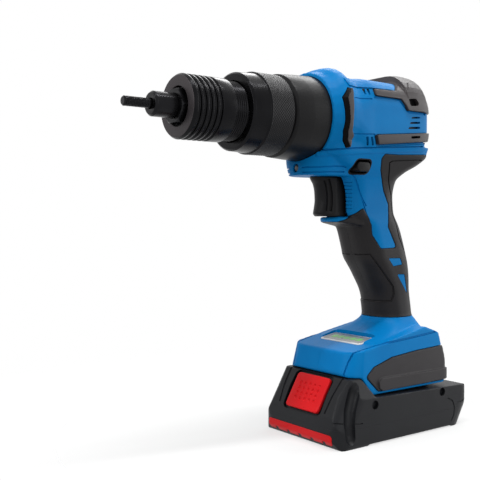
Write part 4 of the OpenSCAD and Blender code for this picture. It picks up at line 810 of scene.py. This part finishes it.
PACK_LINES = [
    (1.00, [(45.2, 26.3, 47.0), (49.0, 25.6, 41.5), (54.5, 24.4, 32.7), (60.4, 22.9, 22.4)]),
    (4.20, [
        (42.2, 34.8, 41.0), (46.6, 36.6, 34.0), (50.0, 37.0, 25.0), (51.2, 37.2, 17.0), (51.0, 37.0, 9.0),
        (50.8, 36.5, 5.0),
    ]),
    (0.45, [(59.1, 31.8, 17.0), (55, 35.5, 17.0), (50.8, 37.9, 17.0), (40.2, 39.0, 15.8)]),
    (0.55, [(-45.0, 39, 21.1), (-50.5, 39, 18.6), (-52.6, 39, 14.0), (-52.2, 39, 8.5), (-49.4, 39, 4.2)]),
    (0.60, [(-56, 39, 17), (-64, 37.5, 17.2)]),
]
for radius, line in PACK_LINES:
    for path in both_sides(line):
        combine(pack, tube(laid_on(plain, path, 0.2, radius if radius > 2 else 0.0), radius), "DIFFERENCE")
for x in (28.7, -39.2):
    for side in (1, -1):
        combine(pack, prism(disc(3.0, 32, x, 26.4), side * 36.6, side * FAR), "DIFFERENCE")
combine(pack, prism(rounded([(38, -5), (34, 1.0), (-50, 1.0), (-54, -5)], 1.5), -FAR, FAR), "DIFFERENCE")
# The pack's nylon is a shade colder and lighter than the trigger's, with the same dull moulded skin
pack_nylon = moulded("pack_nylon", "#18191c", "#1d1e21", 0.4, 0.6, 0.05, 0.15)
for name, node, low, high in (
    ("pack_upper", "battery_upper_case", 13.02, 90), ("pack_lower", "battery_lower_case", -9, 12.98),
):
    half = copy_of(pack)
    combine(half, prism([(-90, -90), (90, -90), (90, 90), (-90, 90)], low, high, "Z"), "INTERSECT")
    hand_over(half, name, "battery", pack_nylon, [node])
bpy.data.meshes.remove(pack.data)

# Release button and front strip: red nylon. The button is a dimpled plate that is pressed into the
# slope, and the strip a guard with a notched lower edge along the foot.
# Red nylon, moulded: a full signal red with a plain dull gloss
red_nylon = moulded("red_nylon", "#d1141b", "#da1b20", 0.36, 0.6, 0.04, 0.12)
button = on_slope(seat - face * 0.8, lean, face, 16.2, 25, 2.6, -2.0, 0.9)
apply(button, "BEVEL", width=0.7, segments=3, limit_method="ANGLE")
for row in range(4):
    for col in range(5):
        spot = seat + lean * (row * 3.6 - 5.4) + Vector((0, col * 4.6 - 9.2, 0)) + face * 0.5
        bpy.ops.mesh.primitive_uv_sphere_add(segments=20, ring_count=10, radius=1.35, location=spot)
        combine(button, bpy.context.object, "DIFFERENCE")
hand_over(button, "red_button", "release", red_nylon, ["release_button"])
guard = swollen(plain, 0.3)
combine(guard, prism(rounded([(-32, 2.4), (32, 2.4), (32, 9.4), (-32, 9.4)], 2.5), 45, 70, "X"), "INTERSECT")
combine(guard, swollen(plain, -1.0), "DIFFERENCE")
for k in range(5):
    notch = rounded([(12 * k - 26, 0), (12 * k - 22, 0), (12 * k - 22.6, 4.4), (12 * k - 25.4, 4.4)], 0.8)
    combine(guard, prism(notch, 40, 70, "X"), "DIFFERENCE")
hand_over(guard, "front_strip", "battery", red_nylon, ["battery_red_strip"])
bpy.data.meshes.remove(plain.data)
bpy.data.meshes.remove(form.data)

# The works inside, and the screws: they keep the shapes they were drawn with and take the finish
# of ground steel, wound copper, coated magnet, lacquered board, wrapped cell or moulded nylon.
ground_steel = metal("ground_steel", "#a9abae", 1.0, 0.3, 0.01)
FINISHES = {
    "black_steel": black_oxide,
    "bright_steel": ground_steel,
    "copper_wire": metal("enamelled_copper", "#b5672f", 1.0, 0.34, 0.02),
    "magnet": metal("coated_magnet", "#3b3c40", 0.6, 0.4, 0.01),
    "black_plastic": black_nylon,
    "grey_plastic": grey_nylon,
    "circuit_board": moulded("lacquered_board", "#1d5a33", "#22663b", 0.35, 0.5, 0.02),
    "cell_can": moulded("cell_wrap", "#2c7a4a", "#338552", 0.38, 0.8, 0.01),
    "red_plastic": red_nylon,
    "blue_plastic": blue_nylon,
}
for part in frame["record"]["subparts"]:
    node = frame["nodes"][part["node"]]
    if not node.hide_render:
        node.data.materials.clear()
        node.data.materials.append(FINISHES[part["material_slot"]])

# Studio: a white floor that keeps the tool's soft shadow, a bright surround and five soft lamps,
# with the camera where the photographer stood.
bpy.ops.object.select_all(action="DESELECT")
bpy.ops.mesh.primitive_plane_add(size=12)
floor = bpy.context.object
floor.name = "floor"
# Matt white paper that fades into the surround 0.4 m from the tool
white, tree = finish_tree("white_paper")
paper = fill(tree.nodes["Principled BSDF"], {
    "Base Color": (0.92, 0.92, 0.92, 1.0), "Roughness": 0.9, "Specular IOR Level": 0.0,
})
here = add(tree, "TexCoord").outputs["Object"]
spread = add(tree, "Mapping", {"Vector": here, "Scale": (2.4, 2.4, 2.4)})
around = add(tree, "TexGradient", {"Vector": spread.outputs["Vector"]}, gradient_type="SPHERICAL")
fade = add(tree, "MapRange", {
    "Value": around.outputs["Fac"], "From Min": 0.1, "From Max": 0.6, "To Min": 0.0, "To Max": 0.35,
})
open_air = add(tree, "BsdfTransparent")
pick = add(tree, "MixShader", {0: fade.outputs["Result"], 1: open_air.outputs[0], 2: paper.outputs[0]})
fill(tree.nodes["Material Output"], {"Surface": pick.outputs[0]})
floor.data.materials.append(white)
world = bpy.data.worlds.new("studio")
world.use_nodes = True
bpy.context.scene.world = world
tree = world.node_tree
last = fill(tree.nodes["Background"], {"Color": (1, 1, 1, 1), "Strength": 0.32})
backdrop = add(tree, "Background", {"Color": (1, 1, 1, 1), "Strength": 1.0})
seen = add(tree, "LightPath")
for way in ("Is Camera Ray", "Is Glossy Ray", "Is Transmission Ray"):
    last = add(tree, "MixShader", {0: seen.outputs[way], 1: last.outputs[0], 2: backdrop.outputs[0]})
fill(tree.nodes["World Output"], {"Surface": last.outputs[0]})
for name, place, aim, size, depth, power in (
    ("top strip", (0.10, 0.25, 1.40), (0.05, 0.0, 0.20), 1.2, 0.08, 11.0),
    ("back strip", (-0.85, -0.38, 1.12), (0.05, 0.0, 0.20), 1.2, 0.3, 6.0),
    ("front", (1.20, -0.20, 0.70), (0.0, 0.0, 0.13), 0.6, 0.6, 6.0),
    ("camera side", (0.45, 1.35, 0.50), (0.0, 0.0, 0.13), 0.9, 0.9, 4.2),
    ("rear rim", (-1.10, 0.60, 0.40), (0.0, 0.0, 0.15), 0.6, 0.9, 6.0),
):
    lamp = bpy.data.lights.new(name, "AREA")
    lamp.shape = "RECTANGLE"
    lamp.size, lamp.size_y = size, depth
    lamp.energy = power
    holder = bpy.data.objects.new(name, lamp)
    holder.location = place
    holder.rotation_euler = (Vector(aim) - Vector(place)).to_track_quat("-Z", "Y").to_euler()
    bpy.context.collection.objects.link(holder)
lens_data = bpy.data.cameras.new("camera")
lens_data.lens = 58.5
lens_data.sensor_width = 36.0
camera = bpy.data.objects.new("camera", lens_data)
camera.location = (0.4047, 0.3971, 0.1468)
turn, tilt = math.radians(53.5), math.radians(1.3)
sight = Vector((-math.cos(turn) * math.cos(tilt), -math.sin(turn) * math.cos(tilt), -math.sin(tilt)))
camera.rotation_euler = sight.to_track_quat("-Z", "Y").to_euler()
bpy.context.collection.objects.link(camera)
bpy.context.scene.camera = camera
bpy.context.scene.view_settings.view_transform = "Standard"
